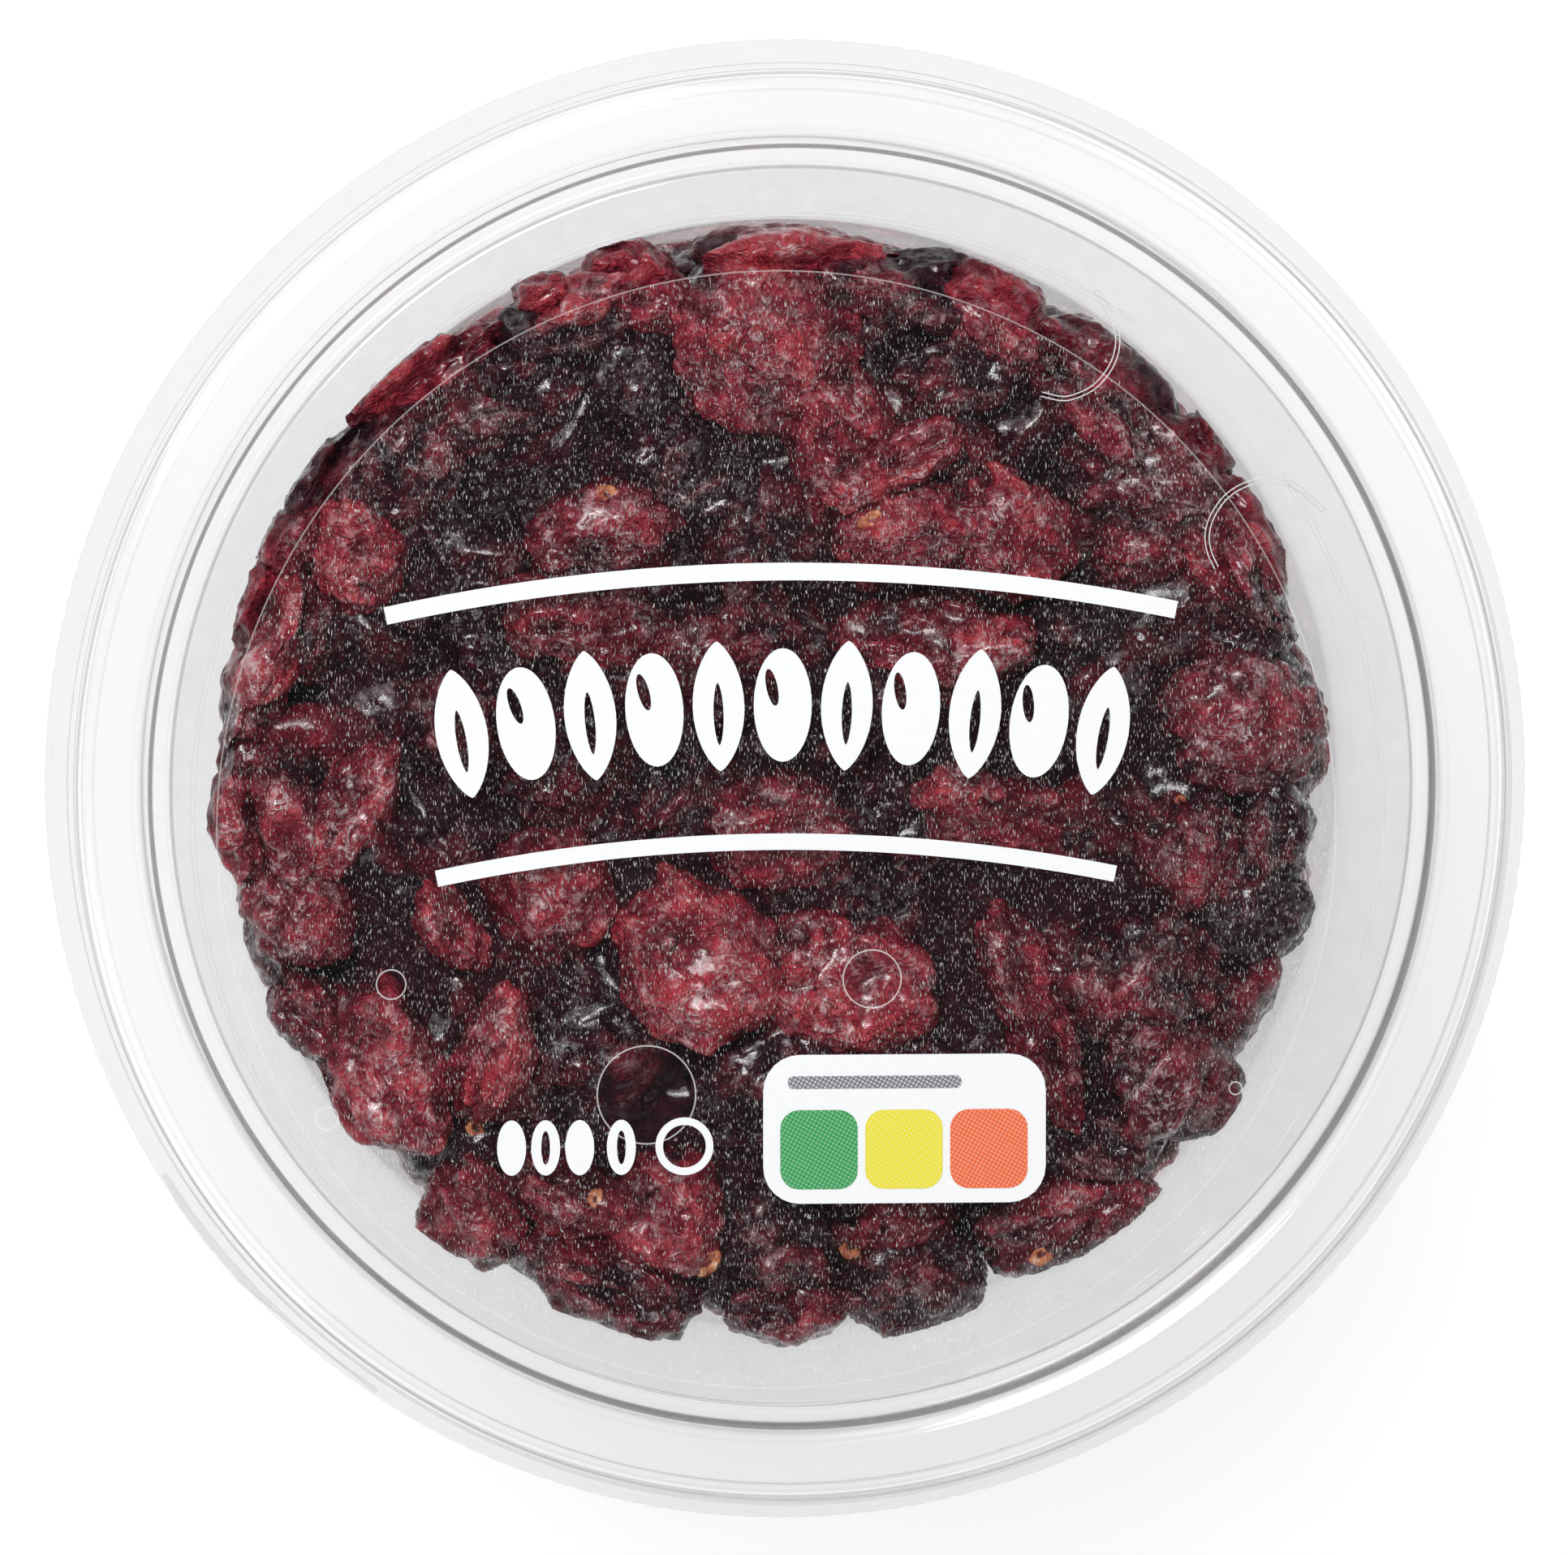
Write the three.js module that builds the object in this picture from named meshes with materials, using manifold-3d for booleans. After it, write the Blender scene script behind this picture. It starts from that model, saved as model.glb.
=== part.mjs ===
// Clear round tub of dried cranberries with a press-on lid and a clear printed label.
// Millimetres, +Z up, origin at the middle of the foot, image right of the photo is +X.
import * as THREE from 'three';
import { mergeVertices } from 'three/addons/utils/BufferGeometryUtils.js';
import Module from 'manifold-3d';

const wasm = await Module();
wasm.setup();

// Driving sizes
const TOTAL_HEIGHT = 74;
const LID_WALL = 0.5;
const TUB_WALL = 0.6;
const FOOT_RING_R = [33.2, 37];
const BASE_RAISE = 1.6;
const BASE_SLOPE_RUN = 2;
const HEEL = [37.8, 1.3];
const BODY_FOOT = [38.4, 3.6];
const BODY_TOP = [44.8, 61.5];
const SHOULDER = [51.3, 65.8];
const COLLAR_R = [51.6, 51.75];
const COLLAR_Z = [67.2, 72.3];
const FLANGE_R = 55.2;
const FLANGE_ROUND = 0.6;
const LIP_R = 55.9;
const LIP_BOTTOM_Z = 70.4;
const CHANNEL = [
  [49.42, 71.3],
  [50.75, 71.3],
];
const PANEL_R = 49.2;
const PANEL_DEPTH = 1.4;
const RIM_FLAT_R = [52.2, 55.3];
const RIM_INNER_EDGE = [51.05, 0.4];
const RIM_OUTER_EDGE = [56.8, 0.5];
const SNAP_GROOVE = [
  [57.1, 71.2],
  [56.9, 69.6],
  [57.4, 68.3],
];
const SKIRT_BOTTOM_Z = 66.2;
const SKIRT_BOTTOM_R = 58.8;
const TAB_TURN = [212, 236];
const TAB_INNER_R = 58.4;
const TAB_START_R = 58.75;
const TAB_CORNER_TURN = 218.7;
const TAB_CORNER_R = 59.9;
const TAB_END_R = 58.75;
const TAB_CORNER_ROUND = [1.2, 0.25];
const TAB_INNER_STEP = 8;
const TAB_THICK = 0.8;
const TAB_DROP = 0.1;
const LABEL_R = 44.4;
const LABEL_CENTRE = [-1.2, -3.4];
const LABEL_THICK = 0.15;
const LABEL_GAP = 0.1;
const ROUND_STEPS = 40;

// Heap sizes
const HEAP_FLOOR_Z = 2.7;
const HEAP_TOP_Z = 71.6;
const WALL_GAP = 0.65;
const BEND_MARGIN = 1.8;
const HEAP_REACH = [43.2, 46.2];
const SLACK_SIDE_TURN = 20;
const CORE_R = [33.8, 39.8];
const CORE_STEPS = 24;
const CORE_TOP_Z = 68.8;
const CORE_LIFT = 2;
const CORE_DOME = 1;
const SIDE_INSET = [1.8, 2.8];
const SIDE_COUNT = 108;
const FILL_COUNT = 90;
const FILL_CLEARANCE = 7.8;
const FILL_SINK = 1.3;
const FLOOR_COUNT = 14;
const FLOOR_BERRY_LIFT = 2.2;
const SPIRAL_INSET = 6;
const SIDE_Z_MARGIN = [3, 6];
const GOLDEN_TURN = Math.PI * (3 - Math.sqrt(5));
const SEED = 41;

const panelTop = TOTAL_HEIGHT - PANEL_DEPTH;
const degrees = Math.PI / 180;

// Seeded draw between two values, the same on every run
const DRAW_STEP = 16807;
const DRAW_SPAN = 2147483647;
let state = SEED;
function draw(low, high) {
  state = (state * DRAW_STEP) % DRAW_SPAN;
  return low + (high - low) * (state / DRAW_SPAN);
}

// Outline of a sheet of one thickness that follows a centre line from the axis to its free edge
function sheetOutline(centreLine, thickness) {
  const points = centreLine.map(([r, z]) => new THREE.Vector2(r, z));
  const upper = [];
  const lower = [];
  points.forEach((point, i) => {
    const before = points[Math.max(i - 1, 0)];
    const after = points[Math.min(i + 1, points.length - 1)];
    const into = point.clone().sub(before);
    const out = after.clone().sub(point);
    const first = (into.length() ? into : out).clone().normalize();
    const second = (out.length() ? out : into).clone().normalize();
    const along = first.clone().add(second).normalize();
    const reach = thickness / 2 / Math.max(along.dot(first), 0.5);
    const side = new THREE.Vector2(-along.y, along.x).multiplyScalar(reach);
    upper.push(point.clone().add(side));
    lower.push(point.clone().sub(side));
  });
  upper[0].x = 0;
  lower[0].x = 0;
  return [...lower, ...upper.reverse()];
}

// Solid of revolution about Z from an outline that starts and ends on the axis
function turned(outline, steps = ROUND_STEPS) {
  return new THREE.LatheGeometry(outline, steps).rotateX(Math.PI / 2);
}

// Joining and cutting
function solidOf(geometry) {
  const bare = geometry.index ? geometry.toNonIndexed() : geometry.clone();
  bare.deleteAttribute('normal');
  bare.deleteAttribute('uv');
  const merged = mergeVertices(bare, 1e-4);
  const kept = [];
  const index = merged.index.array;
  for (let i = 0; i < index.length; i += 3) {
    const [a, b, c] = [index[i], index[i + 1], index[i + 2]];
    if (a !== b && b !== c && a !== c) kept.push(a, b, c);
  }
  const mesh = new wasm.Mesh({
    numProp: 3,
    vertProperties: new Float32Array(merged.attributes.position.array),
    triVerts: new Uint32Array(kept),
  });
  return new wasm.Manifold(mesh);
}

function geometryOf(solid) {
  const mesh = solid.getMesh();
  const geometry = new THREE.BufferGeometry();
  const places = [];
  for (let i = 0; i < mesh.vertProperties.length; i += mesh.numProp) {
    places.push(...mesh.vertProperties.slice(i, i + 3));
  }
  geometry.setAttribute('position', new THREE.Float32BufferAttribute(places, 3));
  geometry.setIndex([...mesh.triVerts]);
  geometry.computeVertexNormals();
  return geometry;
}

// Tub: raised base, flat foot ring, tapered wall, shoulder, collar, flange and turned-down lip
function tubGeometry() {
  const sole = TUB_WALL / 2;
  const centreLine = [
    [0, BASE_RAISE + sole],
    [FOOT_RING_R[0] - BASE_SLOPE_RUN, BASE_RAISE + sole],
    [FOOT_RING_R[0], sole],
    [FOOT_RING_R[1], sole],
    HEEL,
    BODY_FOOT,
    BODY_TOP,
    SHOULDER,
    [COLLAR_R[0], COLLAR_Z[0]],
    [COLLAR_R[1], COLLAR_Z[1]],
    [COLLAR_R[1] + FLANGE_ROUND, COLLAR_Z[1] + FLANGE_ROUND],
    [FLANGE_R, COLLAR_Z[1] + FLANGE_ROUND],
    [LIP_R, COLLAR_Z[1]],
    [LIP_R, LIP_BOTTOM_Z],
  ];
  return turned(sheetOutline(centreLine, TUB_WALL));
}

// Lid: flat panel, narrow channel that plugs the collar, rim, and a flared skirt with a snap groove
function lidGeometry() {
  const half = LID_WALL / 2;
  const rimMiddle = TOTAL_HEIGHT - half;
  const centreLine = [
    [0, panelTop - half],
    [PANEL_R, panelTop - half],
    ...CHANNEL,
    [RIM_INNER_EDGE[0], rimMiddle - RIM_INNER_EDGE[1]],
    [RIM_FLAT_R[0], rimMiddle],
    [RIM_FLAT_R[1], rimMiddle],
    [RIM_OUTER_EDGE[0], rimMiddle - RIM_OUTER_EDGE[1]],
    ...SNAP_GROOVE,
    [SKIRT_BOTTOM_R, SKIRT_BOTTOM_Z],
  ];
  const shell = solidOf(turned(sheetOutline(centreLine, LID_WALL)));
  return geometryOf(withThumbTab(shell));
}

// Thumb tab: a thin plate at the foot of the skirt with one proud corner and a straight edge
function withThumbTab(shell) {
  const at = (turn, r) => new THREE.Vector2(Math.cos(turn * degrees) * r, Math.sin(turn * degrees) * r);
  const outline = [
    at(TAB_TURN[0], TAB_INNER_R),
    at(TAB_TURN[0], TAB_START_R),
    at(TAB_CORNER_TURN - TAB_CORNER_ROUND[0], TAB_CORNER_R - TAB_CORNER_ROUND[1]),
    at(TAB_CORNER_TURN, TAB_CORNER_R),
    at(TAB_TURN[1], TAB_END_R),
    at(TAB_TURN[1], TAB_INNER_R),
    at(TAB_CORNER_TURN + TAB_INNER_STEP, TAB_INNER_R),
    at(TAB_CORNER_TURN, TAB_INNER_R),
  ];
  const plate = new THREE.ExtrudeGeometry(new THREE.Shape(outline), { depth: TAB_THICK, bevelEnabled: false });
  plate.translate(0, 0, SKIRT_BOTTOM_Z - TAB_DROP);
  return shell.add(solidOf(plate));
}

// Label: a thin clear disc, set a little off the middle of the panel
function labelGeometry() {
  const disc = new THREE.CylinderGeometry(LABEL_R, LABEL_R, LABEL_THICK, ROUND_STEPS).rotateX(Math.PI / 2);
  return disc.translate(...LABEL_CENTRE, panelTop + LABEL_GAP + LABEL_THICK / 2);
}

// Inner radius of the tub's wall at a height, read a little lower so that berries clear the bend
function wallRadius(height) {
  const z = height - BEND_MARGIN;
  const [low, high] = z < BODY_TOP[1] ? [BODY_FOOT, BODY_TOP] : [BODY_TOP, SHOULDER];
  const share = THREE.MathUtils.clamp((z - low[1]) / (high[1] - low[1]), 0, 1);
  return THREE.MathUtils.lerp(low[0], high[0], share) - TUB_WALL / 2;
}

// How far out the heap reaches: against the wall at the lower left, short of it at the right
function heapRadius(z, angle) {
  const slack = 0.5 + 0.5 * Math.cos(angle - SLACK_SIDE_TURN * degrees);
  const reach = THREE.MathUtils.lerp(HEAP_REACH[1], HEAP_REACH[0], slack);
  return Math.min(wallRadius(z) - WALL_GAP, reach);
}

// One dried berry: a flattened oval skin, hollowed on its upper side and pinched along a crease
function berryGeometry({ length, width, thick, cup, crease, sides }) {
  const shape = new THREE.SphereGeometry(1, sides, BERRY_RINGS).rotateX(Math.PI / 2);
  const place = shape.attributes.position;
  const point = new THREE.Vector3();
  for (let i = 0; i < place.count; i += 1) {
    point.fromBufferAttribute(place, i);
    const pinch = 1 - crease * (0.5 + 0.5 * Math.cos(3 * Math.atan2(point.y, point.x) + 1));
    const lift = cup * (point.x * point.x + point.y * point.y - 0.4);
    place.setXYZ(
      i,
      (point.x * length * pinch) / 2,
      (point.y * width * pinch) / 2,
      (point.z / 2 + lift) * thick,
    );
  }
  return shape;
}

// Puts a berry in the heap, and presses it flat where it meets the wall, the base or the panel
function settled(shape, place, turn) {
  shape.applyMatrix4(new THREE.Matrix4().makeRotationFromQuaternion(turn));
  shape.translate(...place);
  const at = shape.attributes.position;
  for (let i = 0; i < at.count; i += 1) {
    const z = THREE.MathUtils.clamp(at.getZ(i), HEAP_FLOOR_Z, HEAP_TOP_Z);
    const r = Math.hypot(at.getX(i), at.getY(i));
    const limit = heapRadius(z, Math.atan2(at.getY(i), at.getX(i)));
    const squeeze = Math.min(1, limit / Math.max(r, 1));
    at.setXYZ(i, at.getX(i) * squeeze, at.getY(i) * squeeze, z);
  }
  return shape;
}

// Berries of the top layer that stand out: middle x and y, length, width, turn in degrees and sink
const TOP_BERRIES = [
  [-11.8, 40.0, 9.4, 7.8, -20, 1.0],
  [-19.2, 38.9, 4.8, 3.4, 20, 1.6],
  [-17.5, 36.3, 12.6, 5.6, 15, 0.9],
  [-28.6, 32.4, 14.2, 4.6, 35, 1.2],
  [-22.5, 30.4, 16.5, 7.2, 20, 1.0],
  [-12.0, 31.6, 9.6, 7.6, 100, 0.8],
  [-31.0, 24.6, 12.6, 9.2, 50, 0.6],
  [-37.2, 25.2, 10.2, 5.0, 55, 1.4],
  [-34.4, 18.4, 8.8, 7.8, 110, 0.3],
  [-39.8, 19.8, 6.6, 4.8, 60, 1.0],
  [-41.4, 14.2, 8.6, 4.4, 75, 1.3],
  [-37.8, 12.4, 9.6, 7.2, 80, 1.0],
  [-42.2, 6.6, 9.0, 4.8, 85, 1.0],
  [-42.4, -1.4, 12.6, 6.4, 92, 0.4],
  [-34.8, -1.8, 12.2, 6.6, 60, 0.3],
  [-38.8, -10.0, 10.4, 7.8, -40, 0.5],
  [-27.0, -11.2, 8.8, 4.2, -60, 0.4],
  [-26.4, 4.6, 9.8, 9.6, 20, 0.9],
  [-20.6, 22.6, 13.0, 10.4, 30, 2.2],
  [-14.4, 20.0, 12.6, 8.2, 20, 0.4],
  [-15.2, 12.4, 15.2, 8.4, -5, 0.5],
  [-1.2, 34.2, 16.0, 13.0, -15, 0.0],
  [4.0, 27.2, 10.8, 9.0, -60, 0.2],
  [1.2, 41.6, 15.6, 4.6, 2, 0.8],
  [12.4, 41.0, 9.6, 7.6, 10, 1.0],
  [17.4, 38.8, 10.4, 7.4, -35, 0.7],
  [23.8, 35.0, 9.4, 8.0, 0, 0.5],
  [29.0, 32.0, 10.8, 7.8, -60, 1.0],
  [14.8, 32.6, 12.2, 7.8, 20, 1.1],
  [8.8, 25.4, 14.0, 5.2, 30, 0.1],
  [32.8, 26.0, 7.2, 5.6, -60, 1.2],
  [28.0, 24.6, 14.2, 10.4, -15, 0.5],
  [35.2, 18.4, 11.2, 8.8, -45, 0.7],
  [28.4, 18.6, 10.2, 7.4, 10, 0.6],
  [17.6, 19.4, 10.8, 9.8, -30, 0.0],
  [9.8, 20.0, 12.4, 8.2, 25, 0.3],
  [10.8, 11.2, 17.0, 9.4, 0, 0.5],
  [23.4, 12.0, 10.4, 7.4, 10, 1.2],
  [35.4, 12.6, 10.4, 7.2, -20, 0.9],
  [36.4, 4.6, 12.8, 11.6, 20, 0.2],
  [17.4, -2.8, 15.2, 7.0, -10, 0.3],
  [32.4, -6.2, 11.4, 8.4, -70, 0.6],
  [38.6, -3.8, 9.2, 6.8, 100, 1.4],
  [37.0, -10.8, 9.8, 8.4, 30, 1.4],
  [30.2, -15.4, 11.4, 9.6, 80, 0.5],
  [24.2, -17.2, 11.2, 6.2, -75, 0.4],
  [18.2, -15.0, 11.2, 5.4, -65, 0.4],
  [21.0, -22.6, 12.2, 5.8, -70, 0.5],
  [5.2, -16.4, 13.2, 12.6, 0, 0.0],
  [31.4, -24.0, 12.8, 9.4, -30, 0.7],
  [23.6, -29.2, 12.4, 6.4, -5, 1.0],
  [22.8, -35.6, 14.6, 6.6, 15, 0.6],
  [9.4, -35.4, 9.4, 5.4, 20, 0.9],
  [10.4, -40.0, 11.6, 8.8, 10, 1.0],
  [-0.4, -42.0, 9.4, 6.2, 0, 1.2],
  [-0.8, -35.8, 9.6, 8.4, 40, 1.2],
  [-10.0, -34.2, 10.2, 9.2, -70, 0.2],
  [-14.6, -40.6, 15.0, 7.4, -22, 0.9],
  [-17.6, -32.6, 11.4, 6.6, -20, 0.6],
  [-25.4, -35.2, 9.6, 7.8, -40, 0.8],
  [-32.4, -22.6, 15.2, 9.4, -60, 0.3],
  [-37.8, -18.6, 8.0, 5.4, -50, 1.1],
  [-23.6, -21.4, 10.8, 6.8, 75, 0.1],
  [-19.0, -8.8, 12.0, 9.4, -65, 0.2],
  [-7.4, -14.4, 14.8, 12.2, -30, 0.0],
  [-0.6, -3.8, 12.4, 9.2, 10, 0.5],
];
const TOP_THICK = 5.2;
const SIDE_THICK = 6;
const TOP_REST_SHARE = 0.42;
const BERRY_SIZE = [12, 17];
const BERRY_WIDTH_SHARE = [0.62, 0.85];
const BERRY_RINGS = 3;
const TOP_FORM = { thick: TOP_THICK, cup: 0.1, crease: 0.06, sides: 7 };
const SIDE_FORM = { thick: SIDE_THICK, cup: -0.1, crease: 0.1, sides: 6 };
const FLOOR_FORM = { thick: TOP_THICK, cup: -0.1, crease: 0.08, sides: 6 };

// Berries that fill the top between the listed ones, on a golden-turn spiral
function fillBerries() {
  const berries = [];
  for (let i = 0; i < FILL_COUNT; i += 1) {
    const r = (BODY_TOP[0] - SPIRAL_INSET) * Math.sqrt((i + 0.5) / FILL_COUNT);
    const x = Math.cos(i * GOLDEN_TURN) * r;
    const y = Math.sin(i * GOLDEN_TURN) * r;
    const near = Math.min(...TOP_BERRIES.map(([a, b]) => Math.hypot(x - a, y - b)));
    const length = draw(...BERRY_SIZE);
    const width = length * draw(...BERRY_WIDTH_SHARE);
    const turn = draw(0, 180);
    if (near > FILL_CLEARANCE) berries.push([x, y, length, width, turn, FILL_SINK]);
  }
  return berries;
}

function heapGeometry() {
  const upright = new THREE.Vector3(0, 0, 1);
  const turnAbout = (axis, angle) => new THREE.Quaternion().setFromAxisAngle(axis, angle);
  const coreOutline = [
    new THREE.Vector2(0, HEAP_FLOOR_Z + CORE_LIFT),
    new THREE.Vector2(CORE_R[0], HEAP_FLOOR_Z + CORE_LIFT),
    new THREE.Vector2(CORE_R[1], CORE_TOP_Z - CORE_DOME),
    new THREE.Vector2(0, CORE_TOP_Z),
  ];
  let heap = solidOf(turned(coreOutline, CORE_STEPS));

  for (const [x, y, length, width, turn, sink] of [...TOP_BERRIES, ...fillBerries()]) {
    const shape = berryGeometry({ ...TOP_FORM, length, width });
    const place = [x, y, HEAP_TOP_Z - TOP_THICK * TOP_REST_SHARE - sink];
    heap = heap.add(solidOf(settled(shape, place, turnAbout(upright, turn * degrees))));
  }

  for (let i = 0; i < SIDE_COUNT; i += 1) {
    const length = draw(...BERRY_SIZE);
    const width = length * draw(...BERRY_WIDTH_SHARE);
    const share = (i + 0.5) / SIDE_COUNT;
    const z = THREE.MathUtils.lerp(HEAP_FLOOR_Z + SIDE_Z_MARGIN[0], HEAP_TOP_Z - SIDE_Z_MARGIN[1], share);
    const r = heapRadius(z, i * GOLDEN_TURN) - draw(...SIDE_INSET);
    const outward = new THREE.Vector3(Math.cos(i * GOLDEN_TURN), Math.sin(i * GOLDEN_TURN), 0);
    const shape = berryGeometry({ ...SIDE_FORM, length, width });
    const facing = new THREE.Quaternion().setFromUnitVectors(upright, outward);
    facing.multiply(turnAbout(upright, draw(0, Math.PI)));
    heap = heap.add(solidOf(settled(shape, [outward.x * r, outward.y * r, z], facing)));
  }

  for (let i = 0; i < FLOOR_COUNT; i += 1) {
    const length = draw(...BERRY_SIZE);
    const width = length * draw(...BERRY_WIDTH_SHARE);
    const r = (BODY_FOOT[0] - SPIRAL_INSET) * Math.sqrt((i + 0.5) / FLOOR_COUNT);
    const shape = berryGeometry({ ...FLOOR_FORM, length, width });
    const height = HEAP_FLOOR_Z + FLOOR_BERRY_LIFT;
    const place = [Math.cos(i * GOLDEN_TURN) * r, Math.sin(i * GOLDEN_TURN) * r, height];
    heap = heap.add(solidOf(settled(shape, place, turnAbout(upright, draw(0, Math.PI)))));
  }

  const bodies = heap.decompose().sort((a, b) => b.volume() - a.volume());
  return geometryOf(bodies[0]);
}

function piece(name, geometry, look) {
  const mesh = new THREE.Mesh(geometry, new THREE.MeshStandardMaterial(look));
  mesh.name = name;
  return mesh;
}

const clearPlastic = { color: 0xeef1f2, roughness: 0.08, metalness: 0, transparent: true, opacity: 0.35 };

const tubOfCranberries = new THREE.Group();
tubOfCranberries.add(
  piece('tub', tubGeometry(), clearPlastic),
  piece('cranberries', heapGeometry(), { color: 0x581420, roughness: 0.45, metalness: 0 }),
  piece('lid', lidGeometry(), clearPlastic),
  piece('label', labelGeometry(), { ...clearPlastic, color: 0xf4f5f6 }),
);

export default tubOfCranberries;
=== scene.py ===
"""Closed clear tub of dried cranberries with a press-on lid and a clear printed label."""

import math

import bpy
import numpy as np
from mathutils import Matrix, Vector
from mathutils.bvhtree import BVHTree


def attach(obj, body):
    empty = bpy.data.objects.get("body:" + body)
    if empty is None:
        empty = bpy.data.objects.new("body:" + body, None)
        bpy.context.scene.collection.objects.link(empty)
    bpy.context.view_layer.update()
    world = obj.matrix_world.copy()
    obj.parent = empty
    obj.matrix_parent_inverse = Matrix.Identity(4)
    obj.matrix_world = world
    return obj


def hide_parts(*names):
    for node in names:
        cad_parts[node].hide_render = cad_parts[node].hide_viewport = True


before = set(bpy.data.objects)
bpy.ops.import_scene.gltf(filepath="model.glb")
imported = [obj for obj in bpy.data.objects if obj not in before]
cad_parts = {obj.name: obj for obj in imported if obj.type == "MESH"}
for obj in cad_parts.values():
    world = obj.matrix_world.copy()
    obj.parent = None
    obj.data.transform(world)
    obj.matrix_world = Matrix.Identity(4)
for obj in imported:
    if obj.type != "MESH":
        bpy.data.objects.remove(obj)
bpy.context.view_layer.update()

# All sizes and places are in millimetres, +Z up, and MM turns them into metres.
MM = 0.001

# Tub
TUB_WALL = 0.6
FOOT_RING_R = (33.2, 37.0)
BASE_RAISE = 1.6
BASE_SLOPE_RUN = 2.0
HEEL = (37.8, 1.3)
BODY_FOOT = (38.4, 3.6)
BODY_TOP = (44.8, 61.5)
SHOULDER = (51.3, 65.8)
COLLAR_R = (51.6, 51.75)
COLLAR_Z = (67.2, 72.3)
FLANGE_R = 55.2
FLANGE_ROUND = 0.6
LIP = ((55.9, 72.3), (55.9, 70.4))
TUB_STEPS = 320
TUB_BEND = (1.6, 6)

# Lid
TOTAL_HEIGHT = 74.0
LID_WALL = 0.5
LID_BEND = (0.45, 4)
PANEL_R = 49.2
PANEL_DEPTH = 1.4
PANEL_TOP = TOTAL_HEIGHT - PANEL_DEPTH
CHANNEL = ((49.42, 71.3), (50.75, 71.3))
RIM_INNER_EDGE = (51.05, 0.4)
RIM_FLAT_R = (52.2, 55.3)
RIM_OUTER_EDGE = (56.8, 0.5)
SKIRT = ((57.1, 71.2), (56.9, 69.6), (57.4, 68.3), (58.7, 66.2))
RIB_COUNT = 192
STEPS_PER_RIB = 4
RIB_DEPTH = 0.07
RIB_Z = (66.0, 68.6)
TAB_TURN = (212.0, 236.0)
TAB_INNER_R = 58.3
TAB_START_R = 58.7
TAB_CORNER = (218.7, 59.75)
TAB_CORNER_ROUND = (1.2, 0.25)
TAB_Z = (66.1, 66.9)

# Label and print
LABEL_R = 44.4
LABEL_CENTRE = (-1.2, -3.4)
LABEL_Z = (72.7, 72.85)
PRINT_Z = 72.86
PRINT_THICK = 0.03

# Heap
HEAP_FLOOR_Z = 2.7
HEAP_TOP_Z = 71.6
WALL_GAP = 0.5
HEAP_REACH = (42.6, 44.4)
TOP_REACH = 45.2
TOP_SHIFT = 1.3
SEAT_SHARE = 0.95
SLACK_SIDE_TURN = 20.0
CORE_R = (33.5, 39.0)
CORE_TOP_Z = 68.2
GOLDEN_TURN = math.pi * (3 - math.sqrt(5))
SEED = 41
TOP_THICK = 7.2
SIDE_THICK = 6.0
TOP_REST_SHARE = 0.52
BERRY_SIZE = (12.0, 17.0)
BERRY_WIDTH_SHARE = (0.62, 0.85)
SIDE_COUNT = 122
SIDE_INSET = (1.8, 2.8)
SIDE_Z_MARGIN = (3.0, 6.0)
BACKING_COUNT = 84
BACKING_INSET = (4.2, 5.4)
BACKING_TURN = 1.2
BACKING_Z_MARGIN = 4.5
BACKING_TINT = (0.0, 0.5)
FILL_COUNT = 90
FILL_CLEARANCE = 7.8
FILL_SINK = 1.3
UNDER_COUNT = 76
UNDER_SINK = (2.6, 4.2)
UNDER_TURN = 0.9
FLOOR_COUNT = 34
FLOOR_BERRY_LIFT = 2.2
SPIRAL_INSET = 6.0
CLEARANCE = 0.15

# Camera, as the photo shows the tub: nearly straight down, a little from the upper left
CAMERA_TILT = math.radians(6.2)
CAMERA_LEAN = (-0.625, 0.78)
CAMERA_DISTANCE = 1300.0
CAMERA_AIM = (-0.3, 0.35, 67.0)
VIEW_WIDTH = 124.5
SENSOR_WIDTH = 36.0


# Selecting and drawing

def start_fresh():
    """Leaves edit mode and deselects everything."""
    if bpy.context.object and bpy.context.object.mode != "OBJECT":
        bpy.ops.object.mode_set(mode="OBJECT")
    bpy.ops.object.select_all(action="DESELECT")


def select_only(*pieces):
    start_fresh()
    for piece in pieces:
        piece.select_set(True)
    bpy.context.view_layer.objects.active = pieces[0]


def finish_piece(name, smooth_angle=None):
    """Ends the modelling of the active object: names it and smooths its faces."""
    bpy.ops.object.mode_set(mode="OBJECT")
    piece = bpy.context.object
    piece.name = name
    piece.data.name = name
    bpy.ops.object.transform_apply(location=True, rotation=True, scale=True)
    if smooth_angle is not None:
        bpy.ops.object.shade_smooth_by_angle(angle=math.radians(smooth_angle))
    return piece


def apply_modifiers(piece):
    select_only(piece)
    for modifier in list(piece.modifiers):
        bpy.ops.object.modifier_apply(modifier=modifier.name)


def pick_vertices(piece, test):
    """Selects the vertices whose place in mm passes the test, and goes to edit mode."""
    select_only(piece)
    bpy.ops.object.mode_set(mode="EDIT")
    bpy.ops.mesh.select_mode(type="VERT")
    bpy.ops.mesh.select_all(action="DESELECT")
    bpy.ops.object.mode_set(mode="OBJECT")
    for vertex in piece.data.vertices:
        vertex.select = test(vertex.co / MM)
    bpy.ops.object.mode_set(mode="EDIT")


def draw_line(points):
    """Extrudes one vertex along points, in mm, and stays in edit mode."""
    start_fresh()
    bpy.ops.mesh.primitive_plane_add(size=MM, enter_editmode=True)
    bpy.ops.mesh.merge(type="CENTER")
    places = [Vector(place) * MM for place in points]
    bpy.ops.transform.translate(value=places[0])
    for start, end in zip(places, places[1:]):
        bpy.ops.mesh.extrude_vertices_move(TRANSFORM_OT_translate={"value": end - start})


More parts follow.
